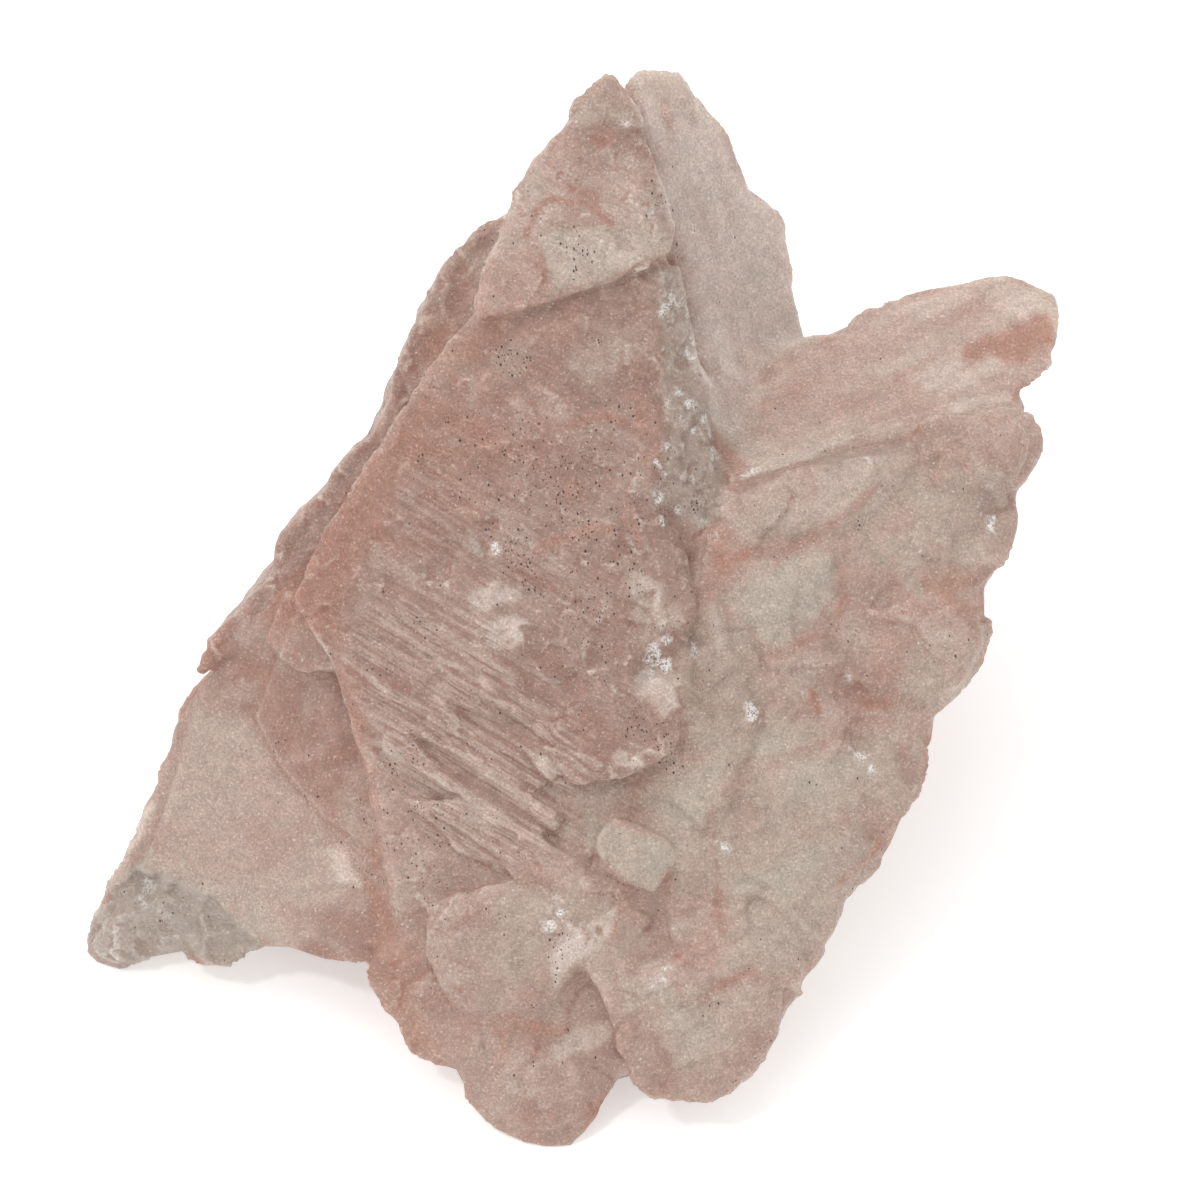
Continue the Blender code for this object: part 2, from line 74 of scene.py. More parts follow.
# The foot of the main face in its own view, and the middle of the group on the table, in millimetres.
FOOT = np.array([0.0, -27.4, -2.9])
MIDDLE = np.array([-1.289, 23.8, 0.0])
DOTS = 1200
DOTS_PER_MM = 20.0
FAR_AWAY = 1e9
# The height in millimetres below which the flat foot of the group stays as it is.
FOOT_CLEAR = 0.25
MOST_TRIANGLES = 190_000
# How steeply the growth lines of the main face, the rear fin and the rear wing run down to the right.
STRIPE_FALL_DEG = 31.0
FIN_FALL_DEG = 76.0
REAR_WING_FALL_DEG = -27.0
# How the crystal takes up light: its refraction, and how far each of red, green and blue spreads in it.
CRYSTAL_IOR = 1.54
GLOW_SPREAD = (1.0, 0.72, 0.6)
GLOW_DEPTH = 1.6 * MM
GRAIN_SIZE = 0.13
SPECK_SIZE = 0.14
BUMP_DEPTH = 0.08 * MM


def linear(red: int, green: int, blue: int) -> Colour:
    """A colour given as three bytes of a screen colour.

    Args:
        red: The red byte.
        green: The green byte.
        blue: The blue byte.

    Returns:
        The colour in linear light, opaque.
    """
    shares = [value / 255 for value in (red, green, blue)]
    light = [v / 12.92 if v <= 0.04045 else ((v + 0.055) / 1.055) ** 2.4 for v in shares]
    return (light[0], light[1], light[2], 1.0)


def seen(place: Place) -> Place:
    """A place in view dots as millimetres across and up the main face."""
    half = DOTS / 2
    return ((place[0] - half) / DOTS_PER_MM, (half - place[1]) / DOTS_PER_MM)


def ramp(values: Floats, low: float, high: float) -> Floats:
    """A smooth step from 0 at low to 1 at high.

    Args:
        values: Any numbers.
        low: Where the step starts.
        high: Where the step ends; it may be below low.

    Returns:
        The step's height for each number.
    """
    share = np.clip((values - low) / (high - low), 0.0, 1.0)
    return share * share * (3 - 2 * share)


SPECK_COLOUR = linear(36, 24, 21)
# Painted highlight colour: the near-white of the glints that are laid into the crystal's colour.
PAINTED_GLINT_COLOUR = linear(246, 244, 240)


class Seed(IntEnum):
    """Which noise field each feature of the stone reads."""

    LUMPS = 3
    SWELLS = 5
    FRAY = 7
    BROAD_CHIPS = 11
    WOBBLE = 17
    FINE_CHIPS = 31
    DRIFT = 41
    SCOOPS = 51
    DEPTH = 59
    RIDGES = 61
    CHIP_WARP = 70
    SPECK_PATCHES = 77
    GLINT_PATCHES = 83
    BEVEL = 91
    CLOUD_WARP = 95
    MAIN_STREAKS = 101
    FIN_STREAKS = 103
    WING_STREAKS = 105
    WARM_DRIFT = 121
    GREY_DRIFT = 131


def gaps(across: Floats, starts: Floats, ends: Floats) -> Floats:
    """Measures how far points are from the nearest of some straight lines.

    Args:
        across: The points, x and y to a row.
        starts: Where the lines start.
        ends: Where they end.

    Returns:
        The distance of each point.
    """
    nearest = np.full(len(across), FAR_AWAY)
    for start, end in zip(starts, ends):
        along = end - start
        reach = max(float(along @ along), 1 / FAR_AWAY)
        share = np.clip(((across - start) @ along) / reach, 0.0, 1.0)
        gap = across - start - share[:, None] * along
        nearest = np.minimum(nearest, np.hypot(gap[:, 0], gap[:, 1]))
    return nearest


class FaceView:
    """The view straight onto the main face: x across it, y up it, z out of it, in millimetres."""

    @staticmethod
    def turn() -> Floats:
        """The rotation from the face's axes to the world's."""
        return np.array(Matrix.Rotation(math.radians(FACE_RISE_DEG), 3, "X"))

    @classmethod
    def from_world(cls, points: Floats) -> Floats:
        """World points in metres as points in the face's view."""
        return (points / MM + MIDDLE) @ cls.turn() + FOOT

    @classmethod
    def to_world(cls, points: Floats) -> Floats:
        """Points in the face's view as world points in metres."""
        return ((points - FOOT) @ cls.turn().T - MIDDLE) * MM


class Grain:
    """Noise fields over points in millimetres, the same on every run."""

    @staticmethod
    def scramble(cells: NDArray[np.int64], seed: int) -> Floats:
        """A number from 0 to 1 for each whole-numbered cell.

        Args:
            cells: Cell numbers, three to a row.
            seed: Which set of numbers.

        Returns:
            One number for each row.
        """
        mixed = cells[..., 0] * 374761393 + cells[..., 1] * 668265263 + cells[..., 2] * 974634777
        mixed = (mixed + seed * 1274126177) & 0x7FFFFFFF
        mixed = ((mixed ^ (mixed >> 13)) * 1103515245) & 0x7FFFFFFF
        mixed = ((mixed ^ (mixed >> 11)) * 12820163) & 0x7FFFFFFF
        return (mixed ^ (mixed >> 15)) / float(0x7FFFFFFF)

    @classmethod
    def triple(cls, cells: NDArray[np.int64], seed: int) -> Floats:
        """Three numbers from 0 to 1 for each whole-numbered cell."""
        return np.stack([cls.scramble(cells, seed + i) for i in range(3)], axis=1)

    @classmethod
    def smooth(cls, points: Floats, size: float, seed: int) -> Floats:
        """Smooth noise from -1 to 1.

        Args:
            points: Where to read it, three numbers to a row.
            size: The size of its waves in millimetres.
            seed: Which field.

        Returns:
            One value for each point.
        """
        scaled = points / size
        base = np.floor(scaled).astype(np.int64)
        part = scaled - base
        part = part * part * part * (part * (part * 6 - 15) + 10)
        total = np.zeros(len(points))
        for corner in range(8):
            step = np.array([corner & 1, corner >> 1 & 1, corner >> 2 & 1])
            weight = np.prod(np.where(step == 1, part, 1 - part), axis=1)
            total += weight * cls.scramble(base + step, seed)
        return total * 2 - 1

    @classmethod
    def layered(cls, points: Floats, size: float, layers: int, seed: int) -> Floats:
        """Smooth noise in layers, each with half the size and half the strength of the one before."""
        return sum(cls.smooth(points, size / 2**i, seed + i) / 2**i for i in range(layers))

    @classmethod
    def warped(cls, points: Floats, reach: float, size: float, layers: int, seed: int) -> Floats:
        """The points, each shifted by noise of its own in every direction, up to a reach in millimetres."""
        shift = [cls.layered(points, size, layers, seed + i) for i in range(3)]
        return points + reach * np.stack(shift, axis=1)

    @classmethod
    def streaks(cls, points: Floats, fall: float, size: float, stretch: float, seed: int) -> Floats:
        """Noise in long streaks over the main face.

        Args:
            points: Where to read it.
            fall: How far the streaks run down to the right, in degrees.
            size: Their width in millimetres.
            stretch: How many times longer than wide they are.
            seed: Which field.

        Returns:
            One value for each point, from about -1.5 to 1.5.
        """
        angle = math.radians(fall)
        along = points[:, 0] * math.cos(angle) - points[:, 1] * math.sin(angle)
        over = points[:, 0] * math.sin(angle) + points[:, 1] * math.cos(angle)
        return cls.layered(np.stack([along / stretch, over, points[:, 2] * 0.1], axis=1), size, 2, seed)

    @classmethod
    def chips(cls, points: Floats, size: float, tilt: float, seed: int) -> tuple[Floats, Floats]:
        """Small flat facets, each tilted its own way, as on broken or stepped crystal.

        Args:
            points: Where to read them.
            size: The facets' size in millimetres.
            tilt: The steepest rise of a facet.
            seed: Which set of facets.

        Returns:
            The facets' height at each point, in millimetres, and each facet's own shade, from 0 to 1.
        """
        scaled = points / size
        base = np.floor(scaled).astype(np.int64)
        nearest = np.full(len(points), 9.0)
        height = np.zeros(len(points))
        shade = np.zeros(len(points))
        for shift in np.ndindex(3, 3, 3):
            cell = base + np.array(shift) - 1
            heart = cell + cls.triple(cell, seed)
            way = scaled - heart
            far = (way * way).sum(axis=1)
            lean = cls.triple(cell, seed + 3) * 2 - 1
            facet = (way * lean).sum(axis=1) * size * tilt
            closer = far < nearest
            nearest = np.where(closer, far, nearest)
            height = np.where(closer, facet, height)
            shade = np.where(closer, cls.scramble(cell, seed + 7), shade)
        return height, shade


class Tint(Enum):
    """What a stain, a facet, a painted highlight or painted shade does to the crystal, and the channel that
    holds it.
    """

    # The pale channel also carries painted light, and the warm and deep ones painted shade in creases.
    PALE = ("clouds", 0)
    WARM = ("clouds", 1)
    GREY = ("clouds", 2)
    DEEP = ("clouds", 3)
    STRIPED = ("finish", 0)
    SPECKLED = ("finish", 1)
    SPARKLING = ("finish", 2)
    # Painted highlights: white glints laid into the colour.
    GLINTING = ("finish", 3)


@dataclass(frozen=True)
class Stain:
    """A soft mark along a line of places, with a ragged edge."""

    width: float
    strength: float
    places: tuple[Place, ...]

    def cover(self, across: Floats, ragged: Floats) -> Floats:
        """How far the mark covers each point.

        Args:
            across: The points, x and y to a row, in the face's view.
            ragged: Noise that frays the mark's edge.

        Returns:
            A share from 0 to the mark's strength.
        """
        far = self.distance(across) / (self.width / DOTS_PER_MM)
        fray = 0.5 * min(self.width / 8, 1.0)
        return self.strength * ramp(far + fray * ragged, 1.15, 0.35)

    def distance(self, across: Floats) -> Floats:
        """Measures how far each point is from the mark's line.

        Args:
            across: The points, x and y to a row, in the face's view.

        Returns:
            The distances in millimetres.
        """
        line = np.array([seen(place) for place in self.places])
        return gaps(across, line[:-1], line[1:])


@dataclass(frozen=True)
class Region:
    """A stretch of the group's front, inside an outline of places."""

    outline: tuple[Place, ...]
    soft: float = 0.5

    def inside(self, across: Floats) -> Floats:
        """How far inside the outline each point is.

        Args:
            across: The points, x and y to a row, in the face's view.

        Returns:
            The distance to the outline in millimetres, negative outside it.
        """
        corners = np.array([seen(place) for place in self.outline])
        following = np.roll(corners, -1, axis=0)
        nearest = gaps(across, corners, following)
        within = np.zeros(len(across), dtype=bool)
        for start, end in zip(corners, following):
            spans = (start[1] > across[:, 1]) != (end[1] > across[:, 1])
            rise = end[1] - start[1] if abs(end[1] - start[1]) > 1 / FAR_AWAY else 1 / FAR_AWAY
            meets = start[0] + (across[:, 1] - start[1]) / rise * (end[0] - start[0])
            within ^= spans & (across[:, 0] < meets)
        return np.where(within, nearest, -nearest)

    def mask(self, across: Floats) -> Floats:
        """1 inside the outline and 0 outside, with a soft edge."""
        return ramp(self.inside(across), -self.soft, self.soft)


REGIONS = {
    "left_wing": Region(((300, 615), (190, 680), (150, 820), (85, 945), (125, 975), (240, 975), (385, 985),
                         (390, 920), (365, 800), (340, 650))),
    "rear_fin": Region(((622, 60), (690, 60), (750, 190), (790, 210), (812, 335), (750, 470), (718, 470),
                        (690, 290), (655, 150))),
    "rear_wing": Region(((722, 470), (770, 345), (845, 320), (1000, 268), (1075, 290), (1060, 350),
                         (1015, 400), (880, 440))),
    "left_fin": Region(((560, 150), (480, 200), (400, 350), (360, 440), (270, 560), (180, 690), (262, 620),
                        (392, 425), (470, 300))),
    "main": Region(((470, 325), (560, 305), (680, 255), (700, 400), (690, 560), (690, 700), (640, 780),
                    (560, 795), (350, 720), (300, 615), (395, 430))),
    "cap": Region(((600, 70), (635, 80), (665, 170), (680, 255), (560, 305), (470, 325), (480, 265),
                   (540, 150), (570, 95))),
    "stripes": Region(((400, 590), (470, 600), (560, 690), (600, 775), (560, 800), (585, 840), (500, 870),
                       (430, 840), (375, 740), (345, 655), (350, 620)), 1.2),
    "upper_stripes": Region(((400, 440), (480, 470), (600, 560), (640, 640), (560, 650), (470, 590),
                             (400, 560), (370, 500)), 1.5),
    "bevel": Region(((656, 275), (682, 270), (716, 440), (722, 520), (690, 525), (655, 500), (668, 420)),
                    0.25),
    "rough": Region(((700, 560), (740, 480), (930, 430), (1045, 420), (1030, 560), (990, 680), (930, 780),
                     (850, 900), (790, 1010), (700, 1120), (560, 1150), (460, 1090), (400, 1050),
                     (480, 1000), (600, 930), (600, 830), (700, 760)), 1.0),
    "wing_tip": Region(((150, 868), (215, 900), (262, 945), (240, 975), (180, 950), (125, 978), (75, 945),
                        (95, 915), (140, 860)), 0.3),
}

SHOULDER = ((395, 430), (470, 325), (560, 320), (540, 420), (500, 520), (420, 560), (340, 560))
DULL_FACE = ((674, 655), (700, 600), (760, 647), (769, 690), (735, 759), (690, 740))
CAP_SQUARE = ((535, 238), (600, 228), (665, 230), (680, 252), (560, 290))

# What each group of faces does, then each face's strength and its outline.
FACETS: dict[Tint, tuple[tuple[float, Region], ...]] = {
    # Darker faces: the stone's deeper colour, and on the main face and its shoulder partly painted shade, as
    # they face away from the top lamp.
    Tint.DEEP: (
        (0.85, REGIONS["main"]),
        (0.75, REGIONS["left_fin"]),
        (0.35, REGIONS["cap"]),
        (1.0, Region(SHOULDER, 1.2)),
        (0.85, Region(DULL_FACE, 0.8)),
        (0.9, Region(((577, 128), (571, 95), (600, 74), (641, 90), (660, 160), (600, 200)), 1.0)),
        (0.75, REGIONS["left_wing"]),
    ),
    Tint.WARM: (
        (0.3, Region(SHOULDER, 1.2)),
        (0.2, REGIONS["stripes"]),
        (0.65, Region(((397, 425), (440, 400), (420, 470), (345, 600), (330, 640), (262, 622)), 0.6)),
        (0.45, Region(((470, 325), (480, 262), (545, 238), (545, 300)), 0.5)),
        (0.35, Region(((262, 620), (330, 640), (370, 800), (385, 900), (330, 850), (250, 715),
                       (200, 680)), 0.8)),
    ),
    Tint.GREY: (
        (0.5, REGIONS["bevel"]),
        (0.8, Region(((590, 819), (649, 836), (674, 856), (651, 892), (620, 878), (587, 845)), 0.2)),
        (0.6, Region(((752, 576), (817, 545), (839, 576), (820, 613), (775, 649), (745, 620)), 0.25)),
        (0.45, Region(DULL_FACE, 0.4)),
        (0.4, Region(((660, 770), (730, 760), (715, 800), (690, 830), (640, 800)), 0.3)),
        (0.35, Region(((797, 760), (859, 745), (870, 790), (820, 830), (780, 810)), 0.6)),
        (0.5, Region(((768, 701), (808, 739), (758, 756)), 0.2)),
        (0.5, Region(((490, 880), (560, 890), (610, 905), (560, 930), (500, 940)), 0.4)),
        (0.6, Region(((720, 880), (830, 850), (840, 910), (790, 980), (730, 960)), 0.8)),
        (0.45, Region(((577, 128), (571, 95), (600, 74), (620, 74), (641, 128), (609, 120)), 0.2)),
        (0.6, Region(CAP_SQUARE, 0.2)),
    ),
    Tint.PALE: (
        (0.25, REGIONS["bevel"]),
        # Painted light: the thin rear wing is made paler, for the light from above and behind that passes
        # through it.
        (0.4, REGIONS["rear_wing"]),
        (0.5, Region(((480, 262), (540, 150), (575, 180), (545, 238), (545, 300), (470, 325)), 0.6)),
        (0.5, Region(CAP_SQUARE, 0.2)),
        (0.4, Region(((600, 150), (650, 160), (668, 230), (620, 232), (600, 200)), 0.5)),
        (0.9, Region(((564, 926), (615, 901), (608, 925), (553, 993), (552, 960)), 0.2)),
        (0.45, Region(((195, 700), (250, 720), (285, 770), (330, 825), (377, 855), (350, 905),
                       (240, 940), (140, 868), (160, 790)), 0.9)),
        # Painted light: the thin rear fin is made paler, for the light from above and behind that passes
        # through it.
        (0.95, Region(((622, 60), (690, 60), (750, 190), (790, 210), (812, 335), (770, 350),
                       (745, 455), (712, 380), (655, 150)), 0.6)),
        (0.5, Region(((700, 500), (760, 480), (915, 440), (910, 500), (740, 545)), 0.6)),
    ),
}

# What each group of marks does, then each mark's half width in dots, its strength and its line.
MARKS: dict[Tint, tuple[tuple[float, float, tuple[Place, ...]], ...]] = {
    Tint.WARM: (
        (16, 0.6, ((333, 624), (356, 697), (368, 803), (387, 917), (405, 1010), (430, 1050))),
        (40, 0.35, ((395, 930), (415, 1010))),
        (26, 0.6, ((440, 360), (500, 330), (560, 325))),
        (30, 0.5, ((430, 410), (480, 430))),
        (5, 0.8, ((528, 236), (536, 212), (550, 200), (588, 206), (612, 226))),
        (5, 0.7, ((535, 262), (548, 290))),
        (6, 0.7, ((560, 430), (600, 415), (640, 425))),
        (6, 0.8, ((536, 552), (580, 532), (612, 528))),
        (5, 0.7, ((625, 490), (636, 530), (640, 545))),
        (7, 0.7, ((720, 560), (800, 545), (850, 512), (876, 486))),
        (9, 0.6, ((775, 655), (830, 630), (845, 600))),
        (9, 0.5, ((730, 790), (780, 760), (835, 740))),
        (12, 0.5, ((985, 600), (992, 640), (965, 700), (938, 712))),
        (10, 0.5, ((932, 745), (928, 790), (905, 815))),
        (6, 0.7, ((700, 760), (712, 830), (722, 930))),
        (7, 0.7, ((560, 1030), (506, 1022), (503, 1060))),
        (40, 0.5, ((390, 960), (410, 1020), (430, 1060))),
        (14, 0.5, ((575, 490), (620, 485))),
        (9, 0.7, ((541, 548), (568, 536), (595, 528))),
        (8, 0.8, ((598, 142), (612, 138))),
        (10, 0.8, ((568, 186), (596, 200))),
        (18, 0.45, ((640, 400), (655, 470))),
        (10, 0.8, ((500, 1024), (515, 1018))),
        (13, 0.7, ((590, 1115), (607, 1098))),
        (9, 0.8, ((665, 872), (668, 890))),
        (14, 0.7, ((742, 775), (752, 768))),
        (20, 0.2, ((895, 590), (930, 605))),
        (5, 0.9, ((812, 690), (818, 712))),
        (8, 0.7, ((868, 703), (885, 703))),
        (18, 0.5, ((710, 535), (732, 560))),
        (7, 0.8, ((895, 821), (876, 850), (842, 880))),
        (7, 0.7, ((754, 969), (720, 985), (686, 1004))),
        (26, 0.35, ((745, 830), (760, 870), (700, 950))),
        (30, 0.15, ((840, 560), (900, 640), (850, 690))),
        (22, 0.3, ((790, 375), (860, 360), (900, 330))),
        (20, 0.9, ((985, 348), (1045, 335))),
        (30, 0.4, ((760, 430), (900, 390))),
        (14, 0.7, ((716, 440), (735, 465))),
        (24, 0.4, ((215, 640), (190, 690))),
        (30, 0.3, ((300, 930), (370, 930))),
        (20, 0.4, ((520, 820), (570, 835))),
        (34, 0.3, ((445, 450), (430, 500))),
    ),
    Tint.PALE: (
        (34, 0.35, ((870, 590), (900, 610))),
        (24, 0.9, ((1005, 290), (1040, 302))),
        (11, 0.8, ((740, 470), (790, 458), (850, 432))),
        (13, 0.55, ((880, 375), (960, 345), (1000, 320))),
        (12, 0.5, ((850, 335), (900, 315))),
        (14, 0.9, ((485, 598), (518, 592))),
        (15, 0.95, ((482, 645), (512, 632))),
        (8, 0.2, ((398, 425), (330, 512), (262, 606))),
        (8, 0.8, ((152, 805), (120, 860), (92, 914))),
        # Painted highlight along a ridge of the clear wing tip.
        (7, 0.9, ((119, 919), (155, 905), (180, 927), (192, 939))),
        (6, 0.8, ((138, 871), (189, 888), (217, 908), (254, 936))),
        (7, 0.8, ((740, 476), (850, 436), (930, 412), (1005, 396))),
        # Painted highlight: the glint on the edge of a small raised plate.
        (5, 0.9, ((469, 528), (480, 554))),
        (9, 0.8, ((547, 762), (556, 785))),
        (9, 0.8, ((384, 745), (396, 760))),
        (10, 0.7, ((620, 758), (640, 765))),
        (22, 0.8, ((650, 680), (665, 700))),
        (24, 0.55, ((640, 590), (665, 610))),
        (26, 0.5, ((935, 630), (945, 680))),
        (40, 0.2, ((970, 430), (1010, 440))),
        (14, 0.8, ((715, 610), (720, 640))),
        # Painted highlights at two glints.
        (14, 0.6, ((682, 928), (692, 934))),
        (12, 0.7, ((716, 840), (722, 848))),
        (12, 0.6, ((560, 1050), (600, 1030))),
        # Painted highlight at a glint.
        (14, 0.6, ((650, 975), (665, 985))),
        (26, 0.4, ((690, 1040), (740, 1010))),
        (16, 0.9, ((336, 850), (345, 880))),
        (26, 0.5, ((250, 920), (290, 930))),
        (22, 0.3, ((590, 360), (640, 340))),
        # Painted light: lifts the shade at the foot of the rear fin.
        (34, 1.0, ((722, 330), (735, 420))),
        (26, 0.5, ((672, 110), (730, 220))),
        (18, 0.4, ((520, 400), (560, 410))),
        (12, 0.5, ((420, 770), (520, 840), (580, 885))),
    ),
    Tint.DEEP: (
        (30, 1.0, ((400, 445), (335, 530), (290, 600))),
        (12, 0.9, ((750, 484), (860, 452), (960, 428))),
        (34, 1.0, ((445, 450), (430, 500))),
    ),
    Tint.GREY: (
        (46, 0.75, ((120, 890), (170, 900), (240, 945))),
        (18, 0.35, ((505, 365), (515, 350))),
        (30, 0.45, ((460, 940), (520, 960))),
        (40, 0.2, ((700, 1060), (760, 1000))),
        (30, 0.4, ((870, 880), (820, 930))),
        (30, 0.35, ((870, 760), (900, 800))),
        (20, 0.4, ((235, 700), (250, 690))),
        (22, 0.4, ((350, 810), (365, 830))),
    ),
    Tint.SPECKLED: (
        (9, 1.0, ((592, 336), (602, 343))),
        (10, 0.9, ((560, 488), (572, 505), (570, 525))),
        (8, 0.9, ((516, 536), (530, 545))),
        (7, 0.9, ((650, 742), (672, 748))),
        (5, 1.0, ((676, 1044), (682, 1050))),
        (5, 1.0, ((361, 799), (366, 806))),
        (5, 1.0, ((356, 872), (384, 879))),
        (4, 1.0, ((468, 894), (472, 904))),
        (4, 1.0, ((531, 1011), (537, 1003))),
        (6, 0.8, ((690, 500), (700, 512))),
        (6, 0.7, ((650, 170), (658, 200))),
        (14, 0.8, ((500, 352), (522, 368))),
        (22, 0.9, ((556, 490), (575, 525))),
        (18, 0.8, ((515, 540), (528, 588))),
        (24, 0.8, ((645, 730), (678, 755))),
        (16, 0.8, ((570, 248), (580, 270))),
        (10, 0.8, ((560, 940), (556, 975))),
        (14, 0.6, ((584, 705), (590, 725))),
        (60, 0.35, ((480, 460), (620, 470), (600, 640))),
        (40, 0.3, ((400, 760), (420, 880))),
    ),
    # Painted highlights: white glints laid into the colour.
    Tint.GLINTING: (
        (20, 1.0, ((640, 668), (668, 652), (690, 646))),
        (8, 1.0, ((664, 288), (668, 325))),
        (9, 1.0, ((682, 370), (694, 440))),
        (8, 1.0, ((660, 462), (664, 520))),
        (8, 0.9, ((694, 455), (704, 515))),
        (11, 0.7, ((622, 122), (640, 138))),
        (5, 0.8, ((630, 80), (633, 95))),
        (9, 0.6, ((648, 200), (656, 240))),
        (8, 0.8, ((560, 905), (600, 915))),
        (10, 0.6, ((830, 465), (900, 450))),
        (8, 0.7, ((985, 495), (992, 515))),
        (12, 0.7, ((136, 880), (150, 905))),
        (9, 0.6, ((750, 690), (762, 730))),
        (9, 0.9, ((712, 535), (716, 560))),
        (9, 0.9, ((838, 640), (850, 676))),
        (9, 0.9, ((747, 690), (757, 724))),
        (9, 0.9, ((984, 490), (994, 522))),
        (9, 0.9, ((855, 755), (870, 765))),
        (9, 0.9, ((680, 928), (694, 934))),
        (9, 0.9, ((714, 840), (722, 850))),
        (9, 0.9, ((655, 985), (668, 975))),
        (9, 0.9, ((742, 470), (752, 466))),
        (9, 0.9, ((860, 466), (868, 462))),
        (9, 0.9, ((552, 925), (560, 921))),
        (9, 0.9, ((500, 545), (504, 560))),
    ),
    Tint.SPARKLING: (
        (16, 1.0, ((640, 672), (672, 650), (690, 642))),
        (9, 1.0, ((666, 290), (672, 340), (690, 400), (705, 442))),
        (10, 1.0, ((660, 465), (662, 500), (668, 520))),
        (8, 0.8, ((700, 470), (705, 515))),
        (10, 0.7, ((640, 128), (652, 200), (664, 240))),
        (8, 0.8, ((469, 528), (480, 554))),
        (9, 0.6, ((720, 600), (725, 630))),
        (9, 0.6, ((830, 465), (910, 448))),
        (8, 0.6, ((985, 495), (992, 515))),
        (10, 0.6, ((825, 640), (855, 670))),
        (8, 0.6, ((750, 690), (762, 730))),
        (9, 0.7, ((136, 880), (150, 905))),
    ),
}


@dataclass(frozen=True)
class Web:
    """A flat web of stone that joins two blades, in the face's view."""

    outline: tuple[Place, ...]
    middle: tuple[float, float, float]
    slope: tuple[float, float]
    thickness: float

    def corners(self) -> Floats:
        """Lays out the web's corners.

        Returns:
            The corners of its front, then those of its back.
        """
        flat = np.array([seen(place) for place in self.outline])
        rise = (flat - self.middle[:2]) @ np.array(self.slope)
        front = np.column_stack([flat, self.middle[2] + rise])
        return np.concatenate([front, front - [0.0, 0.0, self.thickness]])

    def faces(self) -> list[tuple[int, ...]]:
        """Joins the web's corners.

        Returns:
            Its front, its back and its sides as corner numbers, each facing outwards.
        """
        count = len(self.outline)
        sides = [(i, i + count, (i + 1) % count + count, (i + 1) % count) for i in range(count)]
        return [tuple(range(count)), tuple(range(2 * count - 1, count - 1, -1)), *sides]


WEBS = (
    Web(((740, 470), (765, 500), (860, 490), (960, 470), (1030, 440), (1018, 388), (1000, 380), (880, 410),
         (800, 430), (752, 445)), (15.0, 11.5, -9.3), (-0.12, -0.85), 4.0),
    Web(((688, 325), (692, 440), (700, 500), (752, 474), (764, 420), (778, 350), (808, 338), (780, 320)),
        (5.0, 13.5, -7.2), (-0.858, -0.607), 4.5),
    Web(((712, 462), (745, 452), (800, 440), (815, 470), (760, 500), (712, 500)),
        (7.5, 6.5, -3.5), (0.0, -1.2), 3.0),
    Web(((285, 590), (262, 640), (300, 672), (345, 668), (335, 600)), (-14.5, -1.0, -1.6), (0.3, 0.0), 3.0),
)

# The regions whose low steps melt away: how much, and how far inside the melting starts and is complete.
MELTS = (("main", 0.8, 0.4, 2.0), ("left_wing", 1.0, 0.5, 2.0), ("rough", 0.92, 0.3, 1.8))

# Lines along which blades melt into each other, each with its half width in dots.
WELDS = (
    (20, ((716, 440), (735, 475), (820, 452), (905, 430), (1000, 405))),
    (20, ((680, 290), (712, 400), (722, 470))),
    (20, ((190, 692), (250, 650), (310, 612))),
    (20, ((600, 640), (500, 570), (420, 590))),
    (34, ((605, 840), (650, 865))),
    (16, ((700, 330), (745, 440))),
    (24, ((722, 440), (740, 464), (775, 462))),
    (26, ((196, 670), (210, 690))),
    (26, ((796, 990), (806, 998))),
    (18, ((988, 610), (992, 632))),
)


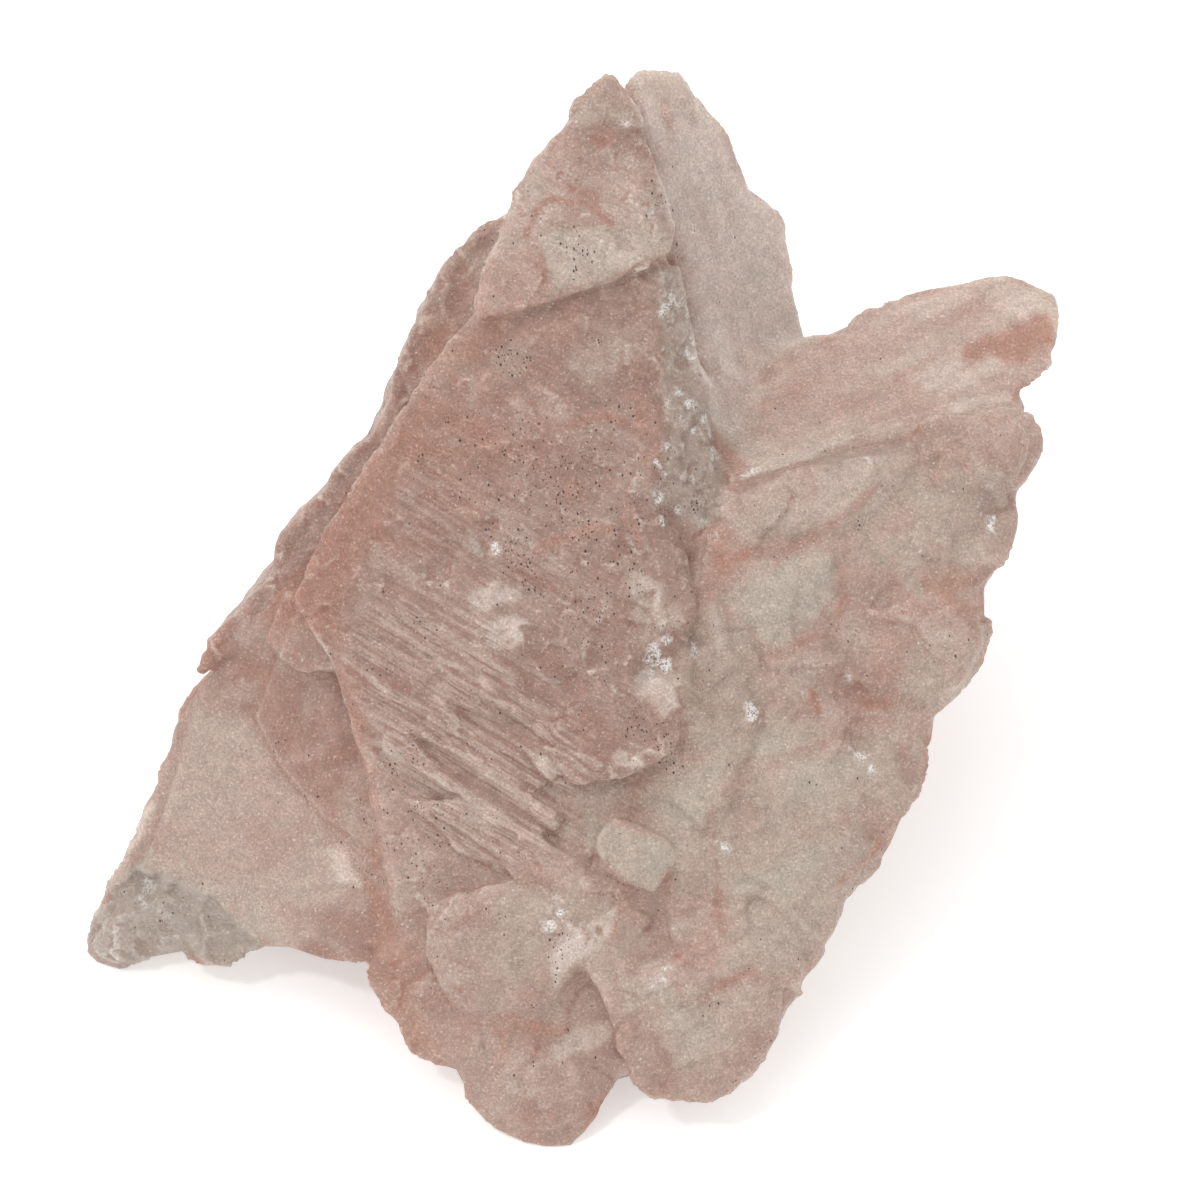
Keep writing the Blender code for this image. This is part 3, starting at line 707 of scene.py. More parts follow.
class NodeBench:
    """Lays out and joins the nodes of one node tree."""

    def __init__(self, tree: Tree) -> None:
        """Starts an empty layout.

        Args:
            tree: The node tree to fill.
        """
        self.tree = tree
        self.column = 0

    def add(self, kind: str, **settings: object) -> Node:
        """Adds a node.

        Args:
            kind: Blender's name for the node, without "ShaderNode".
            settings: Properties of the node, and values of its inputs by their names with _ for spaces.

        Returns:
            The new node.
        """
        group = kind.startswith("NodeGroup")
        node = self.tree.nodes.new(kind if group else "ShaderNode" + kind)
        node.location = (self.column * 190, -120 * (self.column % 3))
        self.column += 1
        for key, value in settings.items():
            if hasattr(node, key):
                setattr(node, key, value)
            else:
                node.inputs[key.replace("_", " ")].default_value = value
        return node

    def link(self, out: Socket, into: Socket) -> None:
        """Joins two sockets."""
        self.tree.links.new(out, into)

    def math(self, operation: str, first: object, second: object = 0.0) -> Socket:
        """Adds a sum, product or other step of two values.

        Args:
            operation: Blender's name for the step.
            first: A socket or a number.
            second: A socket or a number.

        Returns:
            The result's socket.
        """
        node = self.add("Math", operation=operation)
        for slot, value in zip(node.inputs, (first, second)):
            self.feed(value, slot)
        return node.outputs[0]

    def noise(self, places: Socket, size: object, **settings: float) -> Node:
        """Adds noise.

        Args:
            places: Where to read it.
            size: The size of its waves in millimetres, a socket or a number.
            settings: Its other inputs.

        Returns:
            The noise's node.
        """
        node = self.add("TexNoise", **settings)
        self.link(places, node.inputs["Vector"])
        self.link(self.math("DIVIDE", 1.0, size), node.inputs["Scale"])
        return node

    def feed(self, value: object, into: Socket) -> None:
        """Joins a socket to an input, or sets the input to a number or colour."""
        if isinstance(value, Socket):
            self.link(value, into)
        else:
            into.default_value = value

    def mix(self, share: object, under: object, over: object) -> Socket:
        """Mixes two colours.

        Args:
            share: How much of the second colour, a socket or a number.
            under: The first colour.
            over: The second colour.

        Returns:
            The mixed colour's socket.
        """
        node = self.add("Mix", data_type="RGBA")
        self.feed(share, node.inputs[0])
        self.feed(under, node.inputs[6])
        self.feed(over, node.inputs[7])
        return node.outputs[2]

    def remap(self, value: Socket, *span: float) -> Socket:
        """Stretches a value from one span to another, smoothly and within its ends.

        Args:
            value: The value's socket.
            span: The span's low and high ends, then those of the result.

        Returns:
            The result's socket.
        """
        node = self.add("MapRange", interpolation_type="SMOOTHSTEP")
        self.link(value, node.inputs["Value"])
        for name, end in zip(("From Min", "From Max", "To Min", "To Max"), span):
            node.inputs[name].default_value = end
        return node.outputs["Result"]

    def group(self, tree: Tree, **values: object) -> Node:
        """Places a node group, with its inputs set by their names with _ for spaces."""
        node = self.tree.nodes.new("ShaderNodeGroup")
        node.node_tree = tree
        for key, value in values.items():
            self.feed(value, node.inputs[key.replace("_", " ")])
        return node


class Effects:
    """The node groups that the crystal's materials share. Sizes in them are in millimetres."""

    def __init__(self) -> None:
        """Builds each group once."""
        self.stripes = self.build_stripes()
        self.specks = self.build_specks()
        self.grain = self.build_grain()

    @staticmethod
    def start(name: str, outputs: tuple[str, ...], **inputs: float) -> tuple[NodeBench, dict, dict]:
        """Starts a group with named inputs and outputs.

        Args:
            name: The group's name.
            outputs: The outputs' names.
            inputs: Each input's default value, by its name.

        Returns:
            The group's bench, its input sockets and its output sockets.
        """
        tree = bpy.data.node_groups.new(name, "ShaderNodeTree")
        for key, value in inputs.items():
            socket = tree.interface.new_socket(key, in_out="INPUT", socket_type="NodeSocketFloat")
            socket.default_value = value
        for key in outputs:
            tree.interface.new_socket(key, in_out="OUTPUT", socket_type="NodeSocketFloat")
        bench = NodeBench(tree)
        entry = bench.add("NodeGroupInput")
        leave = bench.add("NodeGroupOutput")
        return bench, dict(entry.outputs.items()), dict(leave.inputs.items())

    @staticmethod
    def places(bench: NodeBench, turned: float = 0.0, stretch: float = 1.0) -> Socket:
        """Object coordinates in millimetres along the main face.

        Args:
            bench: The bench of the tree that needs them.
            turned: How far the x axis is turned down across the face, in degrees.
            stretch: How much the x axis is stretched.

        Returns:
            The coordinates' socket.
        """
        source = bench.add("TexCoord")
        lay = bench.add("Mapping")
        lay.inputs["Rotation"].default_value = (math.radians(-FACE_RISE_DEG), 0.0, 0.0)
        lay.inputs["Scale"].default_value = (1 / MM, 1 / MM, 1 / MM)
        spin = bench.add("Mapping")
        spin.inputs["Rotation"].default_value = (0.0, 0.0, math.radians(turned))
        squeeze = bench.add("Mapping")
        squeeze.inputs["Scale"].default_value = (1 / stretch, 1.0, 1.0)
        bench.link(source.outputs["Object"], lay.inputs["Vector"])
        bench.link(lay.outputs[0], spin.inputs["Vector"])
        bench.link(spin.outputs[0], squeeze.inputs["Vector"])
        return squeeze.outputs[0]

    def build_stripes(self) -> Tree:
        """Fine growth lines that run down to the right across the main face."""
        bench, given, result = self.start("growth_lines", ("Height",), Spacing=0.3)
        places = self.places(bench, STRIPE_FALL_DEG, 22.0)
        noise = bench.noise(places, given["Spacing"], Detail=2.5, Roughness=0.6, Distortion=0.15)
        bench.link(bench.remap(noise.outputs["Fac"], 0.36, 0.64, 0.0, 1.0), result["Height"])
        return bench.tree

    def build_specks(self) -> Tree:
        """Scattered dark specks, denser where the density is higher."""
        bench, given, result = self.start("specks", ("Mask",), Size=0.2, Density=0.1)
        places = self.places(bench, 75.0, 1.5)
        scale = bench.math("DIVIDE", 1.0, given["Size"])
        cells = bench.add("TexVoronoi", distance="MANHATTAN")
        bench.link(places, cells.inputs["Vector"])
        bench.link(scale, cells.inputs["Scale"])
        shade = bench.add("SeparateColor")
        bench.link(cells.outputs["Color"], shade.inputs[0])
        chosen = bench.math("LESS_THAN", shade.outputs[0], given["Density"])
        reach = bench.math("MULTIPLY_ADD", shade.outputs[1], 0.36)
        reach.node.inputs[2].default_value = 0.2
        dot = bench.math("LESS_THAN", cells.outputs["Distance"], reach)
        bench.link(bench.math("MULTIPLY", chosen, dot), result["Mask"])
        return bench.tree

    def build_grain(self) -> Tree:
        """Fine grain, and a tone for each of the tiny crystal faces in it."""
        bench, given, result = self.start("grain", ("Height", "Tone"), Size=0.25, Facets=3.0)
        places = self.places(bench)
        scale = bench.math("DIVIDE", 1.0, given["Size"])
        noise = bench.noise(places, given["Size"], Detail=3.0, Roughness=0.75, Distortion=0.4)
        cells = bench.add("TexVoronoi", Randomness=1.0)
        shift = bench.add("VectorMath", operation="MULTIPLY_ADD")
        bench.link(noise.outputs["Color"], shift.inputs[0])
        shift.inputs[1].default_value = (0.9, 0.9, 0.9)
        bench.link(places, shift.inputs[2])
        bench.link(shift.outputs[0], cells.inputs["Vector"])
        bench.link(bench.math("DIVIDE", scale, given["Facets"]), cells.inputs["Scale"])
        shade = bench.add("SeparateColor")
        bench.link(cells.outputs["Color"], shade.inputs[0])
        bench.link(noise.outputs["Fac"], result["Height"])
        bench.link(shade.outputs[0], result["Tone"])
        return bench.tree


@dataclass(frozen=True)
class CrystalFinish:
    """The look of one kind of surface on the crystal."""

    name: str
    ground: Colour
    cloud: Colour
    pale: Colour
    warm: Colour
    grey: Colour
    roughness: tuple[float, float]
    grain: float
    glow: float
    clear: float
    speck_density: float

    def dress(self, effects: Effects) -> bpy.types.Material:
        """Makes the material.

        Args:
            effects: The node groups that it uses.

        Returns:
            The material.
        """
        made = bpy.data.materials.new(self.name)
        made.use_nodes = True
        bench = NodeBench(made.node_tree)
        shader = made.node_tree.nodes["Principled BSDF"]
        clouds = self.channels(bench, "clouds")
        finish = self.channels(bench, "finish")
        lines = bench.group(effects.stripes).outputs["Height"]
        grain = bench.group(effects.grain, Size=GRAIN_SIZE, Facets=3.0)
        height, tone = grain.outputs["Height"], grain.outputs["Tone"]
        colour = self.colour(bench, effects, (*clouds, *finish), lines, (height, tone))
        bench.link(colour, shader.inputs["Base Color"])
        self.surface(bench, finish, lines, height, shader)
        shader.inputs["Subsurface Weight"].default_value = self.glow
        shader.inputs["Subsurface Radius"].default_value = GLOW_SPREAD
        shader.inputs["Subsurface Scale"].default_value = GLOW_DEPTH
        shader.inputs["Transmission Weight"].default_value = self.clear
        shader.inputs["IOR"].default_value = CRYSTAL_IOR
        return made

    @staticmethod
    def channels(bench: NodeBench, layer: str) -> list[Socket]:
        """Reads a layer of vertex colours.

        Args:
            bench: The material's bench.
            layer: The layer's name.

        Returns:
            The sockets of its four channels.
        """
        source = bench.add("Attribute", attribute_name=layer)
        split = bench.add("SeparateColor")
        bench.link(source.outputs["Color"], split.inputs[0])
        return [*split.outputs, source.outputs["Alpha"]]

    def colour(self, bench: NodeBench, effects: Effects, painted: Sequence[Socket],
               lines: Socket, grain: tuple[Socket, ...]) -> Socket:
        """Lays the stains, stripes, grain and specks over the crystal's own colour, then painted highlights:
        white glints and tiny sparkles.

        Args:
            bench: The material's bench.
            effects: The node groups.
            painted: The pale, warm, grey, deep, striped, speckled, sparkling and painted glint channels.
            lines: The growth lines' height.
            grain: The grain's height, and the tone of its tiny faces.

        Returns:
            The base colour's socket.
        """
        pale, warm, grey, deep, striped, speckled, _, painted_glint_mask = painted
        stone = bench.mix(pale, bench.mix(deep, self.cloud, self.ground), self.pale)
        stone = bench.mix(grey, bench.mix(warm, stone, self.warm), self.grey)
        dark = bench.math("MULTIPLY", bench.math("SUBTRACT", 1.0, lines), striped)
        stone = bench.mix(bench.math("MULTIPLY", dark, 0.55), stone, self.ground)
        light = bench.math("MULTIPLY", lines, bench.math("MULTIPLY", striped, 0.4))
        stone = bench.mix(light, stone, self.pale)
        rise = bench.remap(grain[0], 0.36, 0.64, 0.82, 1.15)
        face = bench.remap(grain[1], 0.0, 1.0, 0.92, 1.07)
        toned = bench.add("Mix", data_type="RGBA", blend_type="MULTIPLY")
        toned.inputs[0].default_value = 1.0
        bench.link(stone, toned.inputs[6])
        bench.link(bench.math("MULTIPLY", rise, face), toned.inputs[7])
        density = bench.math("MULTIPLY_ADD", speckled, 0.75)
        density.node.inputs[2].default_value = self.speck_density
        specks = bench.group(effects.specks, Size=SPECK_SIZE, Density=density).outputs["Mask"]
        spotted = bench.mix(bench.math("MULTIPLY", specks, 0.92), toned.outputs[2], SPECK_COLOUR)
        # Painted highlights: white glints where the glint channel is set, and tiny white sparkles on the
        # highest grain everywhere.
        glints = bench.math("MULTIPLY", bench.remap(grain[0], 0.42, 0.53, 0.0, 1.0), painted_glint_mask)
        painted_sparkles = bench.math("MAXIMUM", glints, bench.remap(grain[0], 0.61, 0.7, 0.0, 0.5))
        return bench.mix(painted_sparkles, spotted, PAINTED_GLINT_COLOUR)

    def surface(self, bench: NodeBench, finish: Sequence[Socket], lines: Socket,
                grain: Socket, shader: Node) -> None:
        """Sets the gloss and the fine relief.

        Args:
            bench: The material's bench.
            finish: The striped, speckled and sparkling channels.
            lines: The growth lines' height.
            grain: The grain's height.
            shader: The shader that takes them.
        """
        dull, bright = self.roughness
        rough = bench.remap(grain, 0.3, 0.7, dull, bright)
        glossy = bench.math("MULTIPLY", finish[2], 0.3)
        bench.link(bench.math("SUBTRACT", rough, glossy), shader.inputs["Roughness"])
        sharp = bench.math("MULTIPLY", grain, bench.math("MULTIPLY", finish[2], 2.5))
        ridge = bench.math("MULTIPLY", lines, bench.math("MULTIPLY", finish[0], 0.9))
        height = bench.math("ADD", bench.math("ADD", grain, ridge), sharp)
        bump = bench.add("Bump", Strength=self.grain, Distance=BUMP_DEPTH)
        bench.link(height, bump.inputs["Height"])
        bench.link(bump.outputs["Normal"], shader.inputs["Normal"])


PINK = CrystalFinish(
    name="pink_crystal",
    ground=linear(151, 116, 102),
    cloud=linear(182, 153, 140),
    pale=linear(214, 197, 186),
    warm=linear(174, 127, 108),
    grey=linear(186, 172, 158),
    roughness=(0.52, 0.3),
    grain=0.8,
    glow=0.25,
    clear=0.0,
    speck_density=0.006,
)
CLEAR_TIP = CrystalFinish(
    name="clear_crystal",
    ground=linear(178, 155, 141),
    cloud=linear(192, 173, 160),
    pale=linear(226, 217, 207),
    warm=linear(176, 143, 127),
    grey=linear(188, 172, 158),
    roughness=(0.4, 0.2),
    grain=0.5,
    glow=0.2,
    clear=0.25,
    speck_density=0.004,
)


class Links:
    """Which vertices of a mesh are joined."""

    def __init__(self, edges: NDArray[np.int32], vertices: int) -> None:
        """Counts each vertex's neighbours.

        Args:
            edges: The pairs of vertices that are joined.
            vertices: How many vertices there are.
        """
        self.ends = np.concatenate([edges, edges[:, ::-1]])
        self.vertices = vertices
        self.count = np.bincount(self.ends[:, 0], minlength=vertices)[:, None]

    def total(self, values: Floats) -> Floats:
        """Each vertex's sum of its neighbours' values, which are columns of numbers."""
        sums = [np.bincount(self.ends[:, 0], column[self.ends[:, 1]], self.vertices) for column in values.T]
        return np.stack(sums, axis=1)

    def rounded(self, points: Floats) -> Floats:
        """The points, each drawn half way towards its neighbours, which rounds sharp edges."""
        return 0.5 * points + 0.5 * self.total(points) / self.count


@dataclass(frozen=True)
class Relief:
    """The chips, lumps, ledges and hollows of the stone, with sizes and heights in millimetres."""

    lump_size: float = 1.6
    lump_height: float = 0.07
    lump_calming: float = 0.04
    swell_size: float = 4.0
    swell_height: float = 0.06
    rough_swell_height: float = 0.2
    broad_chip_size: float = 3.0
    broad_chip_rise: float = 0.3
    fine_chip_size: float = 1.3
    fine_chip_rise: float = 0.26
    glint_size: float = 0.9
    glint_rise: float = 0.2
    scoop_size: float = 3.4
    scoop_depth: float = 0.13
    ridge_width: float = 0.85
    ridge_stretch: float = 14.0
    ridge_height: float = 0.13
    ledge_height: float = 0.22
    fade_height: float = 1.6

    def move(self, points: Floats, normals: Floats) -> tuple[Floats, Floats]:
        """Works out the relief as a move along each vertex's normal.

        Args:
            points: The vertices.
            normals: Their normals.

        Returns:
            How far each vertex moves, three numbers to a row, and the shades of its large and small facets.
        """
        across = points[:, :2]
        masks = {name: region.mask(across) for name, region in REGIONS.items()}
        front = ramp(normals[:, 2], 0.1, 0.5)
        smooth_part = np.maximum(masks["left_wing"], np.maximum(masks["rear_fin"], masks["rear_wing"]))
        smooth_part *= 1 - masks["wing_tip"]
        behind = ramp(normals[:, 2], -0.1, -0.6)
        low = masks["rough"]
        warped = Grain.warped(points, 0.6, 2.2, 1, Seed.CHIP_WARP)
        lumps = Grain.layered(points, self.lump_size, 4, Seed.LUMPS)
        swells = Grain.layered(points, self.swell_size, 2, Seed.SWELLS)
        height = lumps * (self.lump_height - self.lump_calming * smooth_part)
        height += swells * (self.swell_height + self.rough_swell_height * low) * (1 - smooth_part)
        large, broad_shade = Grain.chips(warped, self.broad_chip_size, self.broad_chip_rise, Seed.BROAD_CHIPS)
        small, fine_shade = Grain.chips(warped, self.fine_chip_size, self.fine_chip_rise, Seed.FINE_CHIPS)
        height += large * (0.1 + 0.18 * low + 0.4 * behind) * (1 - smooth_part)
        fine_share = 0.38 - 0.08 * low - 0.1 * behind + 0.7 * masks["wing_tip"]
        height += small * fine_share * (1 - 0.8 * smooth_part)
        height += self.scoops(points) * masks["main"] * front
        height += self.bevel_glints(warped) * masks["bevel"]
        height += self.ridges(points, masks["stripes"]) * front
        height += sum(self.hollow(across, *lens) for lens in self.hollows()) * front
        height += self.wing_steps(across) * masks["left_wing"] * front
        height *= ramp(FaceView.to_world(points)[:, 2] / MM, FOOT_CLEAR, self.fade_height)
        return normals * height[:, None], np.stack([broad_shade, fine_shade], axis=1)

    def scoops(self, points: Floats) -> Floats:
        """Shallow scooped hollows over the main face, wider than high."""
        squeezed = points * np.array([0.7, 1.0, 1.0])
        return self.scoop_depth * Grain.layered(squeezed, self.scoop_size, 2, Seed.SCOOPS)

    def bevel_glints(self, points: Floats) -> Floats:
        """Sharp little faces down the right edge of the main face."""
        return Grain.chips(points, self.glint_size, self.glint_rise, Seed.BEVEL)[0]

    def ridges(self, points: Floats, mask: Floats) -> Floats:
        """Long low ridges that follow the growth lines."""
        streaks = Grain.streaks(points, STRIPE_FALL_DEG, self.ridge_width, self.ridge_stretch, Seed.RIDGES)
        return mask * self.ridge_height * streaks

    @staticmethod
    def hollows() -> tuple[tuple[Place, Place, float, float], ...]:
        """The lens-shaped hollows: where each starts and ends, its half width and its depth."""
        return (
            ((445, 697), (552, 786), 13.0, 0.34),
            ((405, 732), (566, 848), 16.0, 0.4),
            ((425, 812), (512, 880), 14.0, 0.32),
            ((470, 690), (560, 752), 7.0, 0.3),
            ((520, 625), (660, 750), 34.0, 0.25),
            ((425, 580), (500, 520), 26.0, 0.2),
            ((585, 670), (655, 590), 26.0, 0.25),
            ((835, 540), (940, 455), 20.0, 0.14),
            ((745, 690), (850, 550), 16.0, 0.14),
            ((605, 910), (760, 790), 18.0, 0.16),
            ((598, 925), (622, 1060), 20.0, 0.18),
            ((840, 690), (930, 710), 16.0, 0.16),
            ((675, 1010), (765, 960), 12.0, 0.16),
        )

    @staticmethod
    def hollow(across: Floats, start: Place, end: Place, width: float, depth: float) -> Floats:
        """The depth of one lens-shaped hollow, which is pointed at both ends.

        Args:
            across: The points, x and y to a row.
            start: The place where it starts.
            end: The place where it ends.
            width: Its half width in view dots, at its middle.
            depth: Its depth in millimetres.

        Returns:
            The move at each point, in millimetres.
        """
        origin = np.array(seen(start))
        along = np.array(seen(end)) - origin
        length = float(np.hypot(*along))
        share = (across - origin) @ along / length**2
        aside = (across - origin) @ np.array([-along[1], along[0]]) / length
        room = width / DOTS_PER_MM * np.clip(4 * share * (1 - share), 0.02, 1.0) ** 0.8
        within = (share > 0) & (share < 1)
        return -depth * within * ramp(np.abs(aside) / room, 1.0, 0.3)

    def wing_steps(self, across: Floats) -> Floats:
        """The low ledge that crosses the left wing."""
        ledge = Region(((256, 717), (282, 768), (326, 818), (377, 852), (420, 800), (300, 600)), 0.15)
        return self.ledge_height * ledge.mask(across)


class Painting:
    """The clouds, streaks, stains and finishes of the stone, with painted highlights on its edges and glints,
    and painted shade in its creases.
    """

    # The strength and size in millimetres of the pale, the warm and the grey clouds.
    drifts = ((0.34, 2.0), (0.34, 2.4), (0.3, 2.8))

    def lay(self, mesh: Mesh, points: Floats, shades: Floats, bend: Floats) -> None:
        """Stores the clouds and finishes, with the painted highlights and painted shade, as vertex colours.

        Args:
            mesh: The mesh to paint.
            points: Its vertices in the face's view.
            shades: The shades of the large and small facets that each vertex is on.
            bend: How far each vertex stands out.
        """
        across = points[:, :2]
        ragged = Grain.layered(points, 1.3, 4, Seed.FRAY)
        # The clouds layer also carries painted highlights and painted shade, and the finish layer's last
        # channel the painted glints.
        layers = {name: np.zeros((len(points), 4)) for name in ("clouds", "finish")}
        for tint, marks in MARKS.items():
            name, channel = tint.value
            layer = layers[name][:, channel]
            for mark in marks:
                np.maximum(layer, Stain(*mark).cover(across, ragged), out=layer)
        wobble = Grain.warped(points, 0.22, 1.8, 3, Seed.WOBBLE)[:, :2]
        for tint, faces in FACETS.items():
            name, channel = tint.value
            layer = layers[name][:, channel]
            for strength, region in faces:
                np.maximum(layer, strength * region.mask(wobble), out=layer)
        masks = {name: region.mask(across) for name, region in REGIONS.items()}
        stripes = np.maximum(masks["stripes"], 0.5 * masks["upper_stripes"])
        stripes = np.maximum(stripes, 0.22 * np.maximum(masks["main"], masks["cap"]))
        layers["finish"][:, 0] = np.maximum(layers["finish"][:, 0], stripes)
        bevel = masks["bevel"]
        rear = np.maximum(masks["rear_fin"], masks["rear_wing"])
        # Painted highlights: white glints along the bevel and at the glint marks, broken into patches.
        painted_shine = np.maximum(layers["finish"][:, 3], 0.8 * bevel)
        layers["finish"][:, 2] = np.maximum(layers["finish"][:, 2], 0.6 * bevel)
        layers["finish"][:, 3] = painted_shine * ramp(Grain.layered(points, 0.65, 2, Seed.GLINT_PATCHES), 0.3, 0.6)
        patches = ramp(Grain.layered(points, 1.8, 3, Seed.SPECK_PATCHES), 0.3, 1.1)
        patches *= 1 - 0.6 * masks["rough"]
        layers["finish"][:, 1] = np.maximum(layers["finish"][:, 1], 0.25 * patches * (1 - rear))
        self.cloud_over(points, shades, masks, layers["clouds"])
        # The painted edge highlights and crease shade are calmer on the rear blades and the rough lower part.
        calm = np.maximum(0.7 * rear, 0.55 * masks["rough"])
        self.paint_rim_light_and_crease_shade(bend * (1 - calm), layers["clouds"])
        for name, layer in layers.items():
            made = mesh.color_attributes.new(name, "FLOAT_COLOR", "POINT")
            made.data.foreach_set("color", layer.astype(np.float32).ravel())

    @classmethod
    def cloud_over(cls, points: Floats, shades: Floats, masks: dict[str, Floats], layer: Floats) -> None:
        """Drifts and streaks of deeper, paler and warmer stone, and a shade for each small facet.

        Args:
            points: The vertices in the face's view.
            shades: The shades of the large and small facets that each vertex is on.
            masks: How far each vertex is in each region.
            layer: The pale, warm, grey and deep channels, which it changes.
        """
        rear = np.maximum(masks["rear_fin"], masks["rear_wing"])
        facets = 0.35 * (1 - rear)
        rough = masks["rough"]
        warped = Grain.warped(points, 0.7, 1.4, 3, Seed.CLOUD_WARP)
        streaks = Grain.streaks(warped, STRIPE_FALL_DEG, 0.7, 5.0, Seed.MAIN_STREAKS)
        streaks *= masks["main"] + 0.5 * masks["cap"]
        streaks += Grain.streaks(points, FIN_FALL_DEG, 1.3, 3.5, Seed.FIN_STREAKS) * masks["rear_fin"]
        streaks += Grain.streaks(points, REAR_WING_FALL_DEG, 0.8, 7.0, Seed.WING_STREAKS) * masks["rear_wing"]
        strong = 1 - 0.45 * masks["main"]
        for channel, (strength, size) in enumerate(cls.drifts):
            drift = ramp(Grain.layered(warped, size, 4, Seed.DRIFT + 5 * channel), 0.0, 0.9)
            step = ramp(np.modf(shades.sum(axis=1) * (3 + 2 * channel))[0], 0.6, 0.95)
            added = strength * strong * np.maximum(drift, facets * step)
            layer[:, channel] = np.maximum(layer[:, channel], added)
        layer[:, 0] += (0.2 + 0.12 * rear) * ramp(streaks, 0.1, 1.0) - 0.25 * rear * ramp(streaks, 0.0, -1.0)
        warm = ramp(Grain.layered(warped, 3.4, 3, Seed.WARM_DRIFT), 0.1, 1.0)
        layer[:, 1] += 0.25 * ramp(streaks, -0.2, -1.2) + 0.3 * rough * warm
        layer[:, 2] += 0.5 * rough * ramp(Grain.layered(warped, 4.2, 3, Seed.GREY_DRIFT), 0.0, 0.9)
        deep = ramp(Grain.layered(points, 3.2, 4, Seed.DEPTH), -0.7, 0.7)
        deep += 0.8 * facets * (shades[:, 0] - 0.5)
        layer[:, 3] = layer[:, 3] + 0.35 * deep - 0.2 * ramp(streaks, -0.2, 1.0) - 0.4 * masks["stripes"]
        np.clip(layer, 0.0, 1.0, out=layer)

    @staticmethod
    def paint_rim_light_and_crease_shade(bend: Floats, layer: Floats) -> None:
        """Paints highlights on the edges that stand out, and paints shade into the creases, which also turn
        warmer.

        Args:
            bend: How far each vertex stands out.
            layer: The pale, warm, grey and deep channels, which it changes.
        """
        # Painted highlight: raised edges turn paler.
        layer[:, 0] = np.clip(layer[:, 0] + 0.8 * ramp(bend, 0.003, 0.02), 0.0, 1.0)
        # Painted shade: creases lose their paleness and turn warmer and deeper.
        layer[:, 0] *= 1 - 0.6 * ramp(bend, -0.002, -0.015)
        layer[:, 1] = np.clip(layer[:, 1] + 0.4 * ramp(bend, -0.002, -0.012), 0.0, 1.0)
        layer[:, 3] = np.clip(layer[:, 3] + 0.4 * ramp(bend, -0.002, -0.015), 0.0, 1.0)


